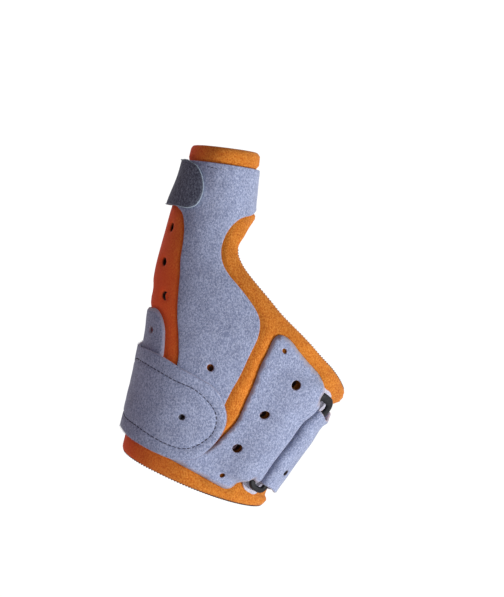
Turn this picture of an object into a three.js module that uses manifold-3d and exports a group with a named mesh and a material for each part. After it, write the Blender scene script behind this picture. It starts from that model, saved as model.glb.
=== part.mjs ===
import * as THREE from 'three';
import { mergeVertices } from 'three/addons/utils/BufferGeometryUtils.js';
import Module from 'manifold-3d';

// A thumb spica splint for the right hand, held in the form of the arm that it is worn on.
// Millimetres, +Z up towards the tip of the thumb. The origin is the centre of the wrist opening.
// -Y is the front, with the radial side at -X and the back of the hand towards +X.

const wasm = await Module();
wasm.setup();

// The arm that the splint is cut for, skin to skin
const wristWidth = 51.4;
const wristDepth = 42;
const handWidth = 73.8;
const handDepth = 44;
const thumbWidth = 21;
const thumbDepth = 21.2;
const splintHeight = 121;

// Thickness of each layer of cloth, and the gap that the layers keep
const liningWall = 2;
const panelWall = 1.2;
const backingWall = 0.8;
const strapWall = 1.4;
const tabWall = 1.3;
const clearance = 0.3;

// Strap, tab and ring
const strapWidth = 38;
const flapWidth = 33;
const tabWidth = 18;
const ringWidth = 10.5;
const ringWire = 2.6;
const ringThickness = 1.6;
const ringBevel = 0.4;
const backingMargin = 1.7;
const ringRound = 0.4;
const backingRound = 0.42;
const slotPlay = 0.8;

// Holes through the cloth
const ventSize = 3.3;
const liningVentSize = 2.9;
const smallVentSize = 2.5;
const pinHoleSize = 1.8;

// Places on the arm. Turn is in degrees round it from the front, positive towards the back of the
// hand, and along runs from 0 at the wrist opening to 1 at the thumb opening.
const ringTurn = 49;
const backingTurn = 51;
const tabMiddle = 0.868;
const ulnarEdgeTurn = 96;
const palmEdgeTurn = -200;
const slitTurn = -127;
const slitGap = 2;
const fullTurn = 360;
const sewnTurn = palmEdgeTurn + fullTurn;
const climbTurn = 13;
const barMargin = 1.5;

// Fineness of the faceted cloth, in degrees or millimetres
const turnStep = 11.25;
const longestRow = 9;
const rowBend = 7;
const edgeStep = 4;
const foldBend = 24;
const fineStep = 0.2;
const holeSides = 10;

const wrist = { width: wristWidth, depth: wristDepth };
const hand = { width: handWidth, depth: handDepth };
const thumb = { width: thumbWidth, depth: thumbDepth };

// Sections across the arm: an ellipse as a share of the wrist, hand or thumb. Rise is a share of the
// splint's height, shift of the hand's width, skew and back of the section's half depth and dip of its
// half width. Tilt and twist are in degrees.
const sections = [
  {
    along: 0.000, of: wrist, width: 1.000, depth: 1.00, rise: 0.000, shift: 0.000,
    tilt: 22.9, skew: 0.330, dip: 0.130, back: 0.000, twist: -4.5,
  },
  {
    along: 0.053, of: wrist, width: 1.010, depth: 0.98, rise: 0.044, shift: 0.020,
    tilt: 24.0, skew: 0.360, dip: 0.130, back: 0.000, twist: -4.5,
  },
  {
    along: 0.168, of: wrist, width: 1.105, depth: 1.00, rise: 0.145, shift: 0.093,
    tilt: 23.4, skew: 0.400, dip: 0.115, back: 0.000, twist: -3.2,
  },
  {
    along: 0.267, of: hand, width: 0.827, depth: 1.00, rise: 0.232, shift: 0.155,
    tilt: 22.8, skew: 0.430, dip: 0.108, back: 0.000, twist: 0.5,
  },
  {
    along: 0.343, of: hand, width: 0.877, depth: 1.02, rise: 0.301, shift: 0.204,
    tilt: 21.8, skew: 0.445, dip: 0.093, back: 0.010, twist: 3.5,
  },
  {
    along: 0.393, of: hand, width: 0.964, depth: 1.02, rise: 0.347, shift: 0.263,
    tilt: 19.8, skew: 0.465, dip: 0.080, back: 0.020, twist: 1.5,
  },
  {
    along: 0.465, of: hand, width: 1.000, depth: 1.00, rise: 0.434, shift: 0.305,
    tilt: 15.1, skew: 0.455, dip: 0.062, back: 0.036, twist: 0,
  },
  {
    along: 0.558, of: hand, width: 0.851, depth: 0.93, rise: 0.541, shift: 0.252,
    tilt: 12.9, skew: 0.366, dip: 0.050, back: 0.050, twist: 0,
  },
  {
    along: 0.650, of: thumb, width: 1.912, depth: 1.70, rise: 0.657, shift: 0.128,
    tilt: 9.5, skew: 0.222, dip: 0.050, back: 0.056, twist: 0,
  },
  {
    along: 0.736, of: thumb, width: 1.408, depth: 1.46, rise: 0.746, shift: 0.088,
    tilt: 8.6, skew: 0.130, dip: 0.040, back: 0.040, twist: 0,
  },
  {
    along: 0.805, of: thumb, width: 1.244, depth: 1.27, rise: 0.815, shift: 0.095,
    tilt: 7.3, skew: 0.074, dip: 0.023, back: 0.022, twist: 0,
  },
  {
    along: 0.888, of: thumb, width: 1.093, depth: 1.11, rise: 0.893, shift: 0.124,
    tilt: 7.4, skew: 0.034, dip: 0.009, back: 0.000, twist: 0,
  },
  {
    along: 1.000, of: thumb, width: 1.000, depth: 1.00, rise: 1.000, shift: 0.157,
    tilt: 6.6, skew: 0.000, dip: 0.000, back: 0.000, twist: 0,
  },
];

const stations = sections.map((row) => {
  const halfWidth = (row.of.width * row.width) / 2;
  const halfDepth = (row.of.depth * row.depth) / 2;
  return {
    along: row.along,
    halfWidth,
    halfDepth,
    x: row.shift * handWidth,
    y: row.back * halfDepth,
    z: row.rise * splintHeight,
    skew: row.skew * halfDepth,
    dip: row.dip * halfWidth,
    tilt: THREE.MathUtils.degToRad(row.tilt),
    twist: THREE.MathUtils.degToRad(row.twist),
  };
});

// A smooth curve through one column of a table whose rows are in order of key
function smooth(table, key, column, value) {
  const last = table.length - 2;
  let i = 0;
  while (i < last && value > table[i + 1][key]) i += 1;
  const slope = (j) => (table[j + 1][column] - table[j][column]) / (table[j + 1][key] - table[j][key]);
  const span = (j) => table[j + 1][key] - table[j][key];
  const tangent = (j) => {
    if (j === 0) return slope(0);
    if (j === table.length - 1) return slope(last);
    return (slope(j) * span(j - 1) + slope(j - 1) * span(j)) / (span(j - 1) + span(j));
  };
  const t = (value - table[i][key]) / span(i);
  const start = table[i][column];
  const end = table[i + 1][column];
  if (t < 0) return start + tangent(i) * t * span(i);
  if (t > 1) return end + tangent(i + 1) * (t - 1) * span(i);
  return (1 + 2 * t) * (1 - t) ** 2 * start + t * (1 - t) ** 2 * span(i) * tangent(i)
    + t * t * (3 - 2 * t) * end + t * t * (t - 1) * span(i) * tangent(i + 1);
}

function skin(turn, along) {
  const at = (column) => smooth(stations, 'along', column, along);
  const angle = THREE.MathUtils.degToRad(turn) + at('twist');
  const side = at('halfWidth') * Math.sin(angle);
  const tilt = at('tilt');
  return new THREE.Vector3(
    at('x') + side * Math.cos(tilt),
    at('y') - at('halfDepth') * Math.cos(angle) + at('skew') * Math.sin(angle),
    at('z') - side * Math.sin(tilt) - at('dip') * Math.cos(angle),
  );
}

// A point of the splint, lifted off the skin along its outward normal
function onArm(turn, along, lift) {
  const turnNudge = 0.05;
  const alongNudge = 0.001;
  const round = skin(turn + turnNudge, along).sub(skin(turn - turnNudge, along));
  const up = skin(turn, along + alongNudge).sub(skin(turn, along - alongNudge));
  const normal = round.cross(up).normalize();
  return skin(turn, along).addScaledVector(normal, lift);
}

// Millimetres on the arm for each degree of turn and for the whole of along, at one place
function scaleAt(turn, along, lift = liningWall) {
  const nudge = 0.004;
  const round = onArm(turn + 0.5, along, lift).distanceTo(onArm(turn - 0.5, along, lift));
  const up = onArm(turn, along + nudge, lift).distanceTo(onArm(turn, along - nudge, lift)) / (2 * nudge);
  return { round, up };
}

// The along that lies a real distance up or down the arm from a place
function reach(turn, along, distance) {
  const steps = 12;
  let at = along;
  for (let i = 0; i < steps; i += 1) at += distance / steps / scaleAt(turn, at).up;
  return at;
}

// The real distance up the arm from one along to another
function climb(turn, from, to) {
  const steps = 12;
  const mean = Array.from({ length: steps }, (_, i) => THREE.MathUtils.lerp(from, to, (i + 0.5) / steps))
    .reduce((sum, along) => sum + scaleAt(turn, along).up / steps, 0);
  return mean * (to - from);
}

// The levels at which a lattice has its rows, closer together where the arm's outline bends
function rowLevels() {
  const guides = [-90, -30, 30, 60, 90, 180];
  const nudge = 0.004;
  const overrun = 0.03;
  const at = (turn, along) => onArm(turn, along, liningWall);
  const normals = (along) => guides.map((turn) => at(turn, along).sub(onArm(turn, along, 0)));
  const levels = [-overrun];
  let last = normals(-overrun);
  for (let along = -overrun; along < 1; along += nudge) {
    const now = normals(along);
    const bend = Math.max(...now.map((normal, i) => THREE.MathUtils.radToDeg(normal.angleTo(last[i]))));
    const below = levels[levels.length - 1];
    const rise = Math.max(...guides.map((turn) => at(turn, along).distanceTo(at(turn, below))));
    if (bend > rowBend || rise > longestRow) {
      levels.push(along);
      last = now;
    }
  }
  return [...levels, 1 + overrun];
}

const latticeLevels = rowLevels();

// Lifts of the middle of each layer off the skin
const panelBase = liningWall + clearance;
const panelLift = panelBase + panelWall / 2;
const backingLift = panelBase + backingWall / 2;
const overPanels = panelBase + panelWall + clearance;
const tabLift = overPanels + tabWall / 2;
const flapLift = overPanels + strapWall / 2;
const ringLift = panelBase + backingWall + clearance + strapWall + clearance + ringThickness / 2;

// The middle of the strap's band, round the arm
const strapRoute = [
  { turn: 38, along: 0.260 },
  { turn: ringTurn, along: 0.250 },
  { turn: 60, along: 0.240 },
  { turn: 90, along: 0.225 },
  { turn: 150, along: 0.215 },
  { turn: 283, along: 0.208 },
  { turn: 365, along: 0.208 },
];
const strapMiddle = (turn) => smooth(strapRoute, 'turn', 'along', turn);

// The flat pattern: across in millimetres as measured at the ring, and up as a share of the height
const degree = scaleAt(ringTurn, strapMiddle(ringTurn)).round;

// The ring's bars, in degrees of turn
const ringHalfTurn = ringWidth / 2 / degree;
const wireTurn = ringWire / degree;
const nearBar = { outer: ringTurn - ringHalfTurn, inner: ringTurn - ringHalfTurn + wireTurn };
const farBar = { outer: ringTurn + ringHalfTurn, inner: ringTurn + ringHalfTurn - wireTurn };
const backingEdge = backingTurn + ringHalfTurn + backingMargin / degree;
const slotLength = strapWidth + 2 * slotPlay;
const ringLength = slotLength + 2 * ringWire;

// Cloth patterns are cut on a slightly bowed table, which keeps every corner of the lattice
const bow = 0.0005;
const bowed = (x, y) => bow * (x * x + y * y);

function solidOf(geometry) {
  geometry.deleteAttribute('normal');
  geometry.deleteAttribute('uv');
  const merged = mergeVertices(geometry, 1e-5);
  return new wasm.Manifold(new wasm.Mesh({
    numProp: 3,
    vertProperties: new Float32Array(merged.attributes.position.array),
    triVerts: new Uint32Array(merged.index.array),
  }));
}

function prism(points) {
  const depth = 120;
  const geometry = new THREE.ExtrudeGeometry(new THREE.Shape(points), { depth, bevelEnabled: false });
  geometry.translate(0, 0, -depth / 4);
  return solidOf(geometry);
}

// A closed outline through the rows of a table, smooth except at its corners
function outlineThrough(rows, place) {
  const points = rows.map((row) => {
    const spot = place(row);
    return new THREE.Vector3(spot.x, spot.y, 0);
  });
  const corners = rows.flatMap((row, i) => (row.corner ? [i] : []));
  const outline = [];
  corners.forEach((from, k) => {
    const to = corners[(k + 1) % corners.length];
    const count = (to - from + rows.length) % rows.length;
    const stretch = Array.from({ length: count + 1 }, (_, i) => points[(from + i) % rows.length]);
    const curve = new THREE.CatmullRomCurve3(stretch, false, 'centripetal');
    const pieces = stretch.length > 2 ? Math.max(2, Math.round(curve.getLength() / edgeStep)) : 1;
    curve.getSpacedPoints(pieces).slice(0, -1).forEach((p) => outline.push(new THREE.Vector2(p.x, p.y)));
  });
  return outline;
}

const placeFlat = ({ turn, along }) => ({ x: turn * degree, y: along * splintHeight });

// A round hole of a real size, as an ellipse on the pattern
function holeOutline({ turn, along, size, narrow = 1 }, place) {
  const middle = place({ turn, along });
  const scale = scaleAt(turn, along);
  const rx = ((size / 2) * narrow * degree) / scale.round;
  const ry = ((size / 2) * splintHeight) / scale.up;
  return Array.from({ length: holeSides }, (_, i) => {
    const angle = (i / holeSides) * 2 * Math.PI;
    return new THREE.Vector2(middle.x + rx * Math.cos(angle), middle.y + ry * Math.sin(angle));
  });
}

// Cuts a lattice slab to its outline and holes, then lays each of its points on the arm
function cutAndWrap({ columns, wall, outline, holes = [], lay }) {
  const rows = latticeLevels.map((along) => along * splintHeight);
  const box = new THREE.BoxGeometry(1, 1, 1, columns.length - 1, rows.length - 1, 1);
  const position = box.attributes.position;
  for (let i = 0; i < position.count; i += 1) {
    const x = columns[Math.round((position.getX(i) + 0.5) * (columns.length - 1))];
    const y = rows[Math.round((position.getY(i) + 0.5) * (rows.length - 1))];
    position.setXYZ(i, x, y, position.getZ(i) * wall + bowed(x, y));
  }
  const cut = holes.reduce(
    (solid, hole) => solid.subtract(prism(hole)),
    solidOf(box).intersect(prism(outline)),
  );
  const mesh = cut.getMesh();
  const wrapped = new Float32Array(mesh.vertProperties.length);
  for (let i = 0; i < wrapped.length; i += 3) {
    const [x, y, z] = mesh.vertProperties.subarray(i, i + 3);
    const spot = lay(x, y / splintHeight, z - bowed(x, y));
    onArm(spot.turn, spot.along, spot.lift).toArray(wrapped, i);
  }
  const geometry = new THREE.BufferGeometry();
  geometry.setAttribute('position', new THREE.BufferAttribute(wrapped, 3));
  geometry.setIndex(new THREE.BufferAttribute(new Uint32Array(mesh.triVerts), 1));
  geometry.computeVertexNormals();
  return geometry;
}

// A sheet that lies at one lift all over
function plainSheet({ rows, holes = [], wall, lift }) {
  const first = Math.floor(Math.min(...rows.map((row) => row.turn)) / turnStep) - 1;
  const last = Math.ceil(Math.max(...rows.map((row) => row.turn)) / turnStep) + 1;
  const columns = Array.from({ length: last - first + 1 }, (_, i) => (first + i + 0.5) * turnStep * degree);
  return cutAndWrap({
    columns,
    wall,
    outline: outlineThrough(rows, placeFlat),
    holes: holes.map((hole) => holeOutline(hole, placeFlat)),
    lay: (x, along, depth) => ({ turn: x / degree, along, lift: lift + depth }),
  });
}

// A strip that follows a path of turn and lift, such as a fold round a bar
function stripAlong(path) {
  const total = path.getLength();
  const at = (s) => path.getPoint(THREE.MathUtils.clamp(s / total, 0, 1));
  const tangentAt = (s) => {
    const nudge = 0.15;
    return at(Math.min(s + nudge, total)).sub(at(Math.max(s - nudge, 0))).normalize();
  };
  const joints = path.getCurveLengths();
  const columns = [-1];
  let heading = tangentAt(0);
  for (let s = fineStep; s < total; s += fineStep) {
    const bend = THREE.MathUtils.radToDeg(heading.angleTo(tangentAt(s)));
    const since = s - columns[columns.length - 1];
    const atJoint = joints.some((joint) => joint >= s && joint < s + fineStep);
    if (bend > foldBend || since > turnStep * degree || (atJoint && since > 0.5)) {
      columns.push(s);
      heading = tangentAt(s);
    }
  }
  columns.push(total + 1);
  // The stride along the strip at which it passes a turn, on its first or last pass
  const strideTo = (turn, lastPass = false) => {
    const x = turn * degree;
    const steps = Math.round(total / fineStep);
    for (let i = 0; i <= steps; i += 1) {
      const s = (lastPass ? 1 - i / steps : i / steps) * total;
      if (lastPass ? at(s).x <= x : at(s).x >= x) return s;
    }
    return lastPass ? 0 : total;
  };
  const lay = (s, along, depth) => {
    const middle = at(s);
    const tangent = tangentAt(s);
    return {
      turn: (middle.x - tangent.y * depth) / degree,
      along,
      lift: middle.y + tangent.x * depth,
    };
  };
  return { total, columns, at, strideTo, lay };
}

// The lining: one sheet round the wrist and the thumb, open at the hand, at the ulnar side under the
// strap and down a slit behind the thumb
const thumbWingTurn = slitTurn + fullTurn - slitGap;
const liningEdge = [
  { turn: palmEdgeTurn, along: 0, corner: true },
  { turn: ulnarEdgeTurn, along: 0, corner: true },
  { turn: ulnarEdgeTurn, along: 0.34, corner: true },
  { turn: 91, along: 0.385 },
  { turn: 80, along: 0.409 },
  { turn: 67, along: 0.424 },
  { turn: 52, along: 0.446 },
  { turn: 39, along: 0.472 },
  { turn: 24, along: 0.540 },
  { turn: 21, along: 0.590 },
  { turn: 24, along: 0.652 },
  { turn: 27, along: 0.680 },
  { turn: 34, along: 0.705 },
  { turn: 50, along: 0.735 },
  { turn: 68, along: 0.765 },
  { turn: 90, along: 0.780 },
  { turn: 115, along: 0.765 },
  { turn: 150, along: 0.700 },
  { turn: 185, along: 0.635 },
  { turn: 215, along: 0.600 },
  { turn: thumbWingTurn, along: 0.590, corner: true },
  { turn: thumbWingTurn, along: 1, corner: true },
  { turn: slitTurn, along: 1, corner: true },
  { turn: slitTurn, along: 0.560, corner: true },
  { turn: -150, along: 0.520 },
  { turn: -175, along: 0.460 },
  { turn: palmEdgeTurn, along: 0.390, corner: true },
];

// The holes that go through a panel and the lining, those through the lining's open window,
// and those through a panel alone
const dorsalVents = [
  { turn: 25.5, along: 0.402 },
  { turn: 21, along: 0.302 },
  { turn: 19.5, along: 0.178 },
];
const shellVents = [{ turn: -22.5, along: 0.370 }];
const palmarVents = [{ turn: -73.5, along: 0.404 }];
const windowVents = [
  { turn: -62, along: 0.732, narrow: 0.8 },
  { turn: -66, along: 0.622, narrow: 0.8 },
  { turn: -62.5, along: 0.518, narrow: 0.9 },
  { turn: -89, along: 0.530, narrow: 0.8 },
];
const dorsalPinHoles = [
  { turn: 16, along: 0.458 },
  { turn: 21, along: 0.082 },
];
const sized = (holes, size) => holes.map((hole) => ({ ...hole, size }));

// The grey shell over the thumb and down the radial side of the wrist
const shellEdge = [
  { turn: slitTurn + 6, along: 0.947, corner: true },
  { turn: slitTurn + 6, along: 0.830, corner: true },
  { turn: -90, along: 0.825 },
  { turn: -68, along: 0.808 },
  { turn: -51, along: 0.793 },
  { turn: -39, along: 0.773 },
  { turn: -34, along: 0.740 },
  { turn: -34.5, along: 0.694 },
  { turn: -42, along: 0.616 },
  { turn: -47, along: 0.554 },
  { turn: -49, along: 0.476 },
  { turn: -46, along: 0.400 },
  { turn: -44, along: 0.346 },
  { turn: -44, along: 0.140, corner: true },
  { turn: -12, along: 0.140, corner: true },
  { turn: -4, along: 0.170 },
  { turn: -1.5, along: 0.216 },
  { turn: -5, along: 0.330 },
  { turn: -3.5, along: 0.420 },
  { turn: 1.5, along: 0.480 },
  { turn: 4.5, along: 0.530 },
  { turn: 1.5, along: 0.586 },
  { turn: 0, along: 0.620 },
  { turn: 5, along: 0.674 },
  { turn: 20, along: 0.740 },
  { turn: 40, along: 0.784 },
  { turn: 69, along: 0.801 },
  { turn: 92, along: 0.815 },
  { turn: 118, along: 0.800 },
  { turn: 150, along: 0.745 },
  { turn: 180, along: 0.690 },
  { turn: thumbWingTurn - 7, along: 0.640, corner: true },
  { turn: thumbWingTurn - 7, along: 0.947, corner: true },
];

// The grey panel on the palm side, whose rounded tip shows above the strap
const palmarEdge = [
  { turn: palmEdgeTurn, along: 0.066, corner: true },
  { turn: palmEdgeTurn, along: 0.335, corner: true },
  { turn: -175, along: 0.405 },
  { turn: -150, along: 0.450 },
  { turn: -120, along: 0.465 },
  { turn: -95, along: 0.465 },
  { turn: -77, along: 0.468 },
  { turn: -70, along: 0.472 },
  { turn: -64.5, along: 0.463 },
  { turn: -59.5, along: 0.436 },
  { turn: -57.5, along: 0.400 },
  { turn: -56.5, along: 0.348 },
  { turn: -53, along: 0.200 },
  { turn: -52, along: 0.066, corner: true },
];

// A rounded rectangle at the ring, across and up the arm. Its long sides have a point at each level
// of the lattice, so that the ring and the cloth round it bend alike.
function ringOutline(width, length, radius, middleTurn) {
  const w = width / 2;
  const l = length / 2;
  const side = l - radius;
  const middle = middleTurn * degree;
  const arcPieces = 4;
  const arc = (x, y, start) => Array.from({ length: arcPieces + 1 }, (_, i) => {
    const angle = start + (i / arcPieces) * (Math.PI / 2);
    const outward = new THREE.Vector2(Math.cos(angle), Math.sin(angle));
    return { across: middle + x + radius * outward.x, up: y + radius * outward.y, outward };
  });
  const edge = (x) => {
    const turn = middleTurn + x / degree;
    const outward = new THREE.Vector2(Math.sign(x), 0);
    return latticeLevels
      .map((level) => ({ across: middle + x, up: climb(turn, strapMiddle(turn), level), outward }))
      .filter(({ up }) => Math.abs(up) < side - 0.5);
  };
  return [
    ...edge(w),
    ...arc(w - radius, side, 0),
    ...arc(radius - w, side, Math.PI / 2),
    ...edge(-w).reverse(),
    ...arc(radius - w, -side, Math.PI),
    ...arc(w - radius, -side, 1.5 * Math.PI),
  ].filter((p, i, all) => {
    const before = all[(i + all.length - 1) % all.length];
    return Math.hypot(p.across - before.across, p.up - before.up) > 0.05;
  });
}

function ringPlace({ across, up }) {
  const turn = across / degree;
  return { turn, along: reach(turn, strapMiddle(turn), up) };
}

// A rounded patch sewn on the lining, under the ring
function ringBacking() {
  const width = ringWidth + 2 * backingMargin;
  const length = ringLength + 2 * backingMargin;
  const outline = ringOutline(width, length, width * backingRound, backingTurn)
    .map(ringPlace)
    .map(({ turn, along }) => new THREE.Vector2(turn * degree, along * splintHeight));
  const reachTurn = width / 2 / degree;
  const first = Math.floor((backingTurn - reachTurn) / turnStep) - 1;
  const last = Math.ceil((backingTurn + reachTurn) / turnStep) + 1;
  return cutAndWrap({
    columns: Array.from({ length: last - first + 1 }, (_, i) => (first + i + 0.5) * turnStep * degree),
    wall: backingWall,
    outline,
    lay: (x, along, depth) => ({ turn: x / degree, along, lift: backingLift + depth }),
  });
}

// The plastic ring, a rounded rectangle curved to the arm: a flat wire with bevelled edges
function strapRing() {
  const corner = ringWidth * ringRound - ringWire / 2;
  const route = ringOutline(ringWidth - ringWire, ringLength - ringWire, corner, ringTurn);
  const w = ringWire / 2;
  const t = ringThickness / 2;
  const section = [
    [w, -t + ringBevel], [w, t - ringBevel], [w - ringBevel, t], [ringBevel - w, t],
    [-w, t - ringBevel], [-w, -t + ringBevel], [ringBevel - w, -t], [w - ringBevel, -t],
  ];
  const points = route.flatMap(({ across, up, outward }) => section.map(([out, lift]) => {
    const { turn, along } = ringPlace({ across: across + outward.x * out, up: up + outward.y * out });
    return onArm(turn, along, ringLift + lift);
  }));
  const count = section.length;
  const index = route.flatMap((_, i) => section.flatMap((__, j) => {
    const here = i * count + j;
    const aside = i * count + ((j + 1) % count);
    const next = ((i + 1) % route.length) * count + j;
    const nextAside = ((i + 1) % route.length) * count + ((j + 1) % count);
    return [here, next, nextAside, here, nextAside, aside];
  }));
  const geometry = new THREE.BufferGeometry().setFromPoints(points);
  geometry.setIndex(index);
  geometry.computeVertexNormals();
  return geometry;
}

// The grey panel on the back of the hand. Its end runs over the ring's near bar and folds back
// under it, which makes the tunnel that holds the ring.
const tunnelFold = ringThickness / 2 + clearance + panelWall / 2;

// Eases a path from its last lift to another by the time that it reaches a turn
function easeTo(path, turn, lift) {
  const x = turn * degree;
  const middle = (path.currentPoint.x + x) / 2;
  path.bezierCurveTo(middle, path.currentPoint.y, middle, lift, x, lift);
}

const levelTo = (path, turn) => path.lineTo(turn * degree, path.currentPoint.y);

// The turn at which the panel's route starts, and how far its end tucks in past the near bar
const dorsalStart = -30;
const tunnelTuck = 2;

function tunnelPath() {
  const path = new THREE.Path();
  path.moveTo(dorsalStart * degree, panelLift);
  levelTo(path, nearBar.outer - climbTurn);
  easeTo(path, nearBar.outer - barMargin, ringLift + tunnelFold);
  levelTo(path, nearBar.inner);
  path.absarc(nearBar.inner * degree, ringLift, tunnelFold, Math.PI / 2, -Math.PI / 2, true);
  levelTo(path, nearBar.outer - tunnelTuck);
  return path;
}

// Where the panel's shoulder and lobe come down off the ring, above and below the tunnel
const tunnelLow = { clear: 0.070, full: 0.104 };
const tunnelHigh = { full: 0.404, clear: 0.430 };
const dorsalEdge = [
  { turn: -22, along: 0.064, corner: true },
  { turn: -22, along: 0.100, corner: true },
  { turn: -5, along: 0.115 },
  { turn: 4, along: 0.150 },
  { turn: 8, along: 0.214 },
  { turn: 9, along: 0.258 },
  { turn: 6, along: 0.332 },
  { turn: 4, along: 0.408 },
  { turn: 6.5, along: 0.446 },
  { turn: 10, along: 0.479 },
  { turn: 14.5, along: 0.492 },
  { turn: 19, along: 0.488 },
  { turn: 24.5, along: 0.466 },
  { turn: 32, along: 0.446 },
  { turn: 41, along: 0.430 },
  { turn: 43.5, along: 0.422 },
  { turn: 42.5, along: 0.408 },
  { turn: 41.5, along: 0.400, corner: true },
];
const lobeEdge = [
  { turn: 38, along: 0.112, corner: true },
  { turn: 35.5, along: 0.074 },
  { turn: 32.5, along: 0.048 },
  { turn: 28, along: 0.038 },
  { turn: 21, along: 0.042 },
  { turn: 4.5, along: 0.054 },
];

function bandEdge(strip, strides, side, width) {
  return strides.map((s) => {
    const turn = strip.at(s).x / degree;
    return { stride: s, along: reach(turn, strapMiddle(turn), (side * width) / 2) };
  });
}

function dorsalPanel() {
  const strip = stripAlong(tunnelPath());
  const place = ({ turn, along, stride = strip.strideTo(turn) }) => ({ x: stride, y: along * splintHeight });
  const start = strip.strideTo(nearBar.inner);
  const tunnelSteps = 7;
  const strides = Array.from({ length: tunnelSteps + 1 }, (_, i) => (
    THREE.MathUtils.lerp(start, strip.total, i / tunnelSteps)));
  const upper = bandEdge(strip, strides, 1, strapWidth);
  const lower = bandEdge(strip, strides, -1, strapWidth).reverse();
  const mark = (rows) => rows.map((row, i) => ({ ...row, corner: i === 0 || i === rows.length - 1 }));
  const rows = [...dorsalEdge, ...mark(upper), ...mark(lower), ...lobeEdge];
  const holes = [...sized(dorsalVents, ventSize), ...sized(dorsalPinHoles, pinHoleSize)];
  return cutAndWrap({
    columns: strip.columns,
    wall: panelWall,
    outline: outlineThrough(rows, place),
    holes: holes.map((hole) => holeOutline(hole, place)),
    lay: (s, along, depth) => {
      const spot = strip.lay(s, along, depth);
      const raised = THREE.MathUtils.smoothstep(along, tunnelLow.clear, tunnelLow.full)
        * (1 - THREE.MathUtils.smoothstep(along, tunnelHigh.full, tunnelHigh.clear));
      const flatLift = panelLift + depth;
      return { ...spot, lift: THREE.MathUtils.lerp(flatLift, spot.lift, raised) };
    },
  });
}

// The strap: sewn on the palm panel, round the ring's far bar and back over itself round the wrist
const strapFold = ringThickness / 2 + clearance + strapWall / 2;
const narrowing = { from: 200, to: 292 };
const innerLift = panelBase + strapWall / 2;
const outerLift = innerLift + strapWall + clearance;
const flapEnd = [
  { turn: 305, side: 0.97 },
  { turn: 320, side: 0.92 },
  { turn: 334, side: 0.89 },
  { turn: 342, side: 0.86 },
  { turn: 348.5, side: 0.77 },
  { turn: 355, side: 0.59 },
  { turn: 360.5, side: 0.38 },
  { turn: 364, side: 0.12 },
  { turn: 364.5, side: -0.20 },
  { turn: 361.5, side: -0.57 },
  { turn: 355.5, side: -0.82 },
  { turn: 346, side: -0.97 },
  { turn: 328, side: -1.01 },
  { turn: 305, side: -1.0 },
];

// Where the strap's two passes rise over the edge of the palm panel and settle again, in degrees of
// turn from that edge
const sewnPass = { start: 12, rise: -5, foot: -20 };
const topPass = { foot: -22, rise: -8, settle: 14, settled: 42 };
const flapOverrun = 10;

function strapPath() {
  const path = new THREE.Path();
  path.moveTo((sewnTurn + sewnPass.start) * degree, flapLift);
  levelTo(path, sewnTurn + sewnPass.rise);
  easeTo(path, sewnTurn + sewnPass.foot, innerLift);
  levelTo(path, backingEdge + climbTurn);
  easeTo(path, backingEdge + barMargin, ringLift - strapFold);
  levelTo(path, farBar.inner);
  path.absarc(farBar.inner * degree, ringLift, strapFold, -Math.PI / 2, -1.5 * Math.PI, true);
  levelTo(path, farBar.outer + barMargin);
  easeTo(path, farBar.outer + 1.5 * climbTurn, outerLift);
  levelTo(path, sewnTurn + topPass.foot);
  easeTo(path, sewnTurn + topPass.rise, flapLift + strapWall + clearance);
  levelTo(path, sewnTurn + topPass.settle);
  easeTo(path, sewnTurn + topPass.settled, flapLift);
  levelTo(path, fullTurn + flapOverrun);
  return path;
}

function wristStrap() {
  const strip = stripAlong(strapPath());
  const strideAt = (turn) => strip.strideTo(turn, true);
  const place = ({ turn, along, stride = strideAt(turn) }) => ({ x: stride, y: along * splintHeight });
  const narrowFrom = strideAt(narrowing.from);
  const narrowTo = strideAt(narrowing.to);
  const bandSteps = 26;
  const strides = Array.from({ length: bandSteps + 1 }, (_, i) => (i / bandSteps) * narrowTo);
  const widthAt = (s) => THREE.MathUtils.lerp(
    strapWidth,
    flapWidth,
    THREE.MathUtils.smoothstep(s, narrowFrom, narrowTo),
  );
  const band = (side) => strides.map((s) => bandEdge(strip, [s], side, widthAt(s))[0]);
  const end = flapEnd.map(({ turn, side }) => ({
    turn,
    along: reach(turn, strapMiddle(turn), (side * flapWidth) / 2),
  }));
  const upper = band(1);
  const lower = band(-1).reverse();
  upper[0].corner = true;
  lower[lower.length - 1].corner = true;
  const holes = [
    { turn: fullTurn - 23.5, along: 0.204, size: pinHoleSize },
    { turn: 62, along: 0.158, size: pinHoleSize },
  ];
  return cutAndWrap({
    columns: strip.columns,
    wall: strapWall,
    outline: outlineThrough([...upper, ...end, ...lower], place),
    holes: holes.map((hole) => holeOutline(hole, place)),
    lay: strip.lay,
  });
}

// The hook tab that closes the thumb: from the wing of the shell across the slit to the front
const tabEnd = [
  { turn: -190, side: -0.95, corner: true },
  { turn: -190, side: 0.95, corner: true },
  { turn: -80, side: 1 },
  { turn: -53, side: 0.99 },
  { turn: -44, side: 0.90 },
  { turn: -34, side: 0.79 },
  { turn: -24, side: 0.47 },
  { turn: -17.5, side: 0.03 },
  { turn: -15.3, side: -0.40 },
  { turn: -18, side: -0.76 },
  { turn: -23, side: -0.93 },
  { turn: -32, side: -1.03 },
  { turn: -46, side: -1 },
  { turn: -80, side: -0.95 },
];

function thumbTab() {
  const rows = tabEnd.map(({ turn, side, corner }) => ({
    turn,
    along: reach(turn, tabMiddle, (side * tabWidth) / 2),
    corner,
  }));
  return plainSheet({ rows, wall: tabWall, lift: tabLift });
}

function cloth(color) {
  return new THREE.MeshStandardMaterial({ color, roughness: 0.95, metalness: 0 });
}

const orange = cloth(0xcf7330);
const grey = cloth(0x98a1bd);
const paleGrey = cloth(0xb9bccb);
const charcoal = cloth(0x444557);
const black = new THREE.MeshStandardMaterial({ color: 0x202124, roughness: 0.45, metalness: 0 });

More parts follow.
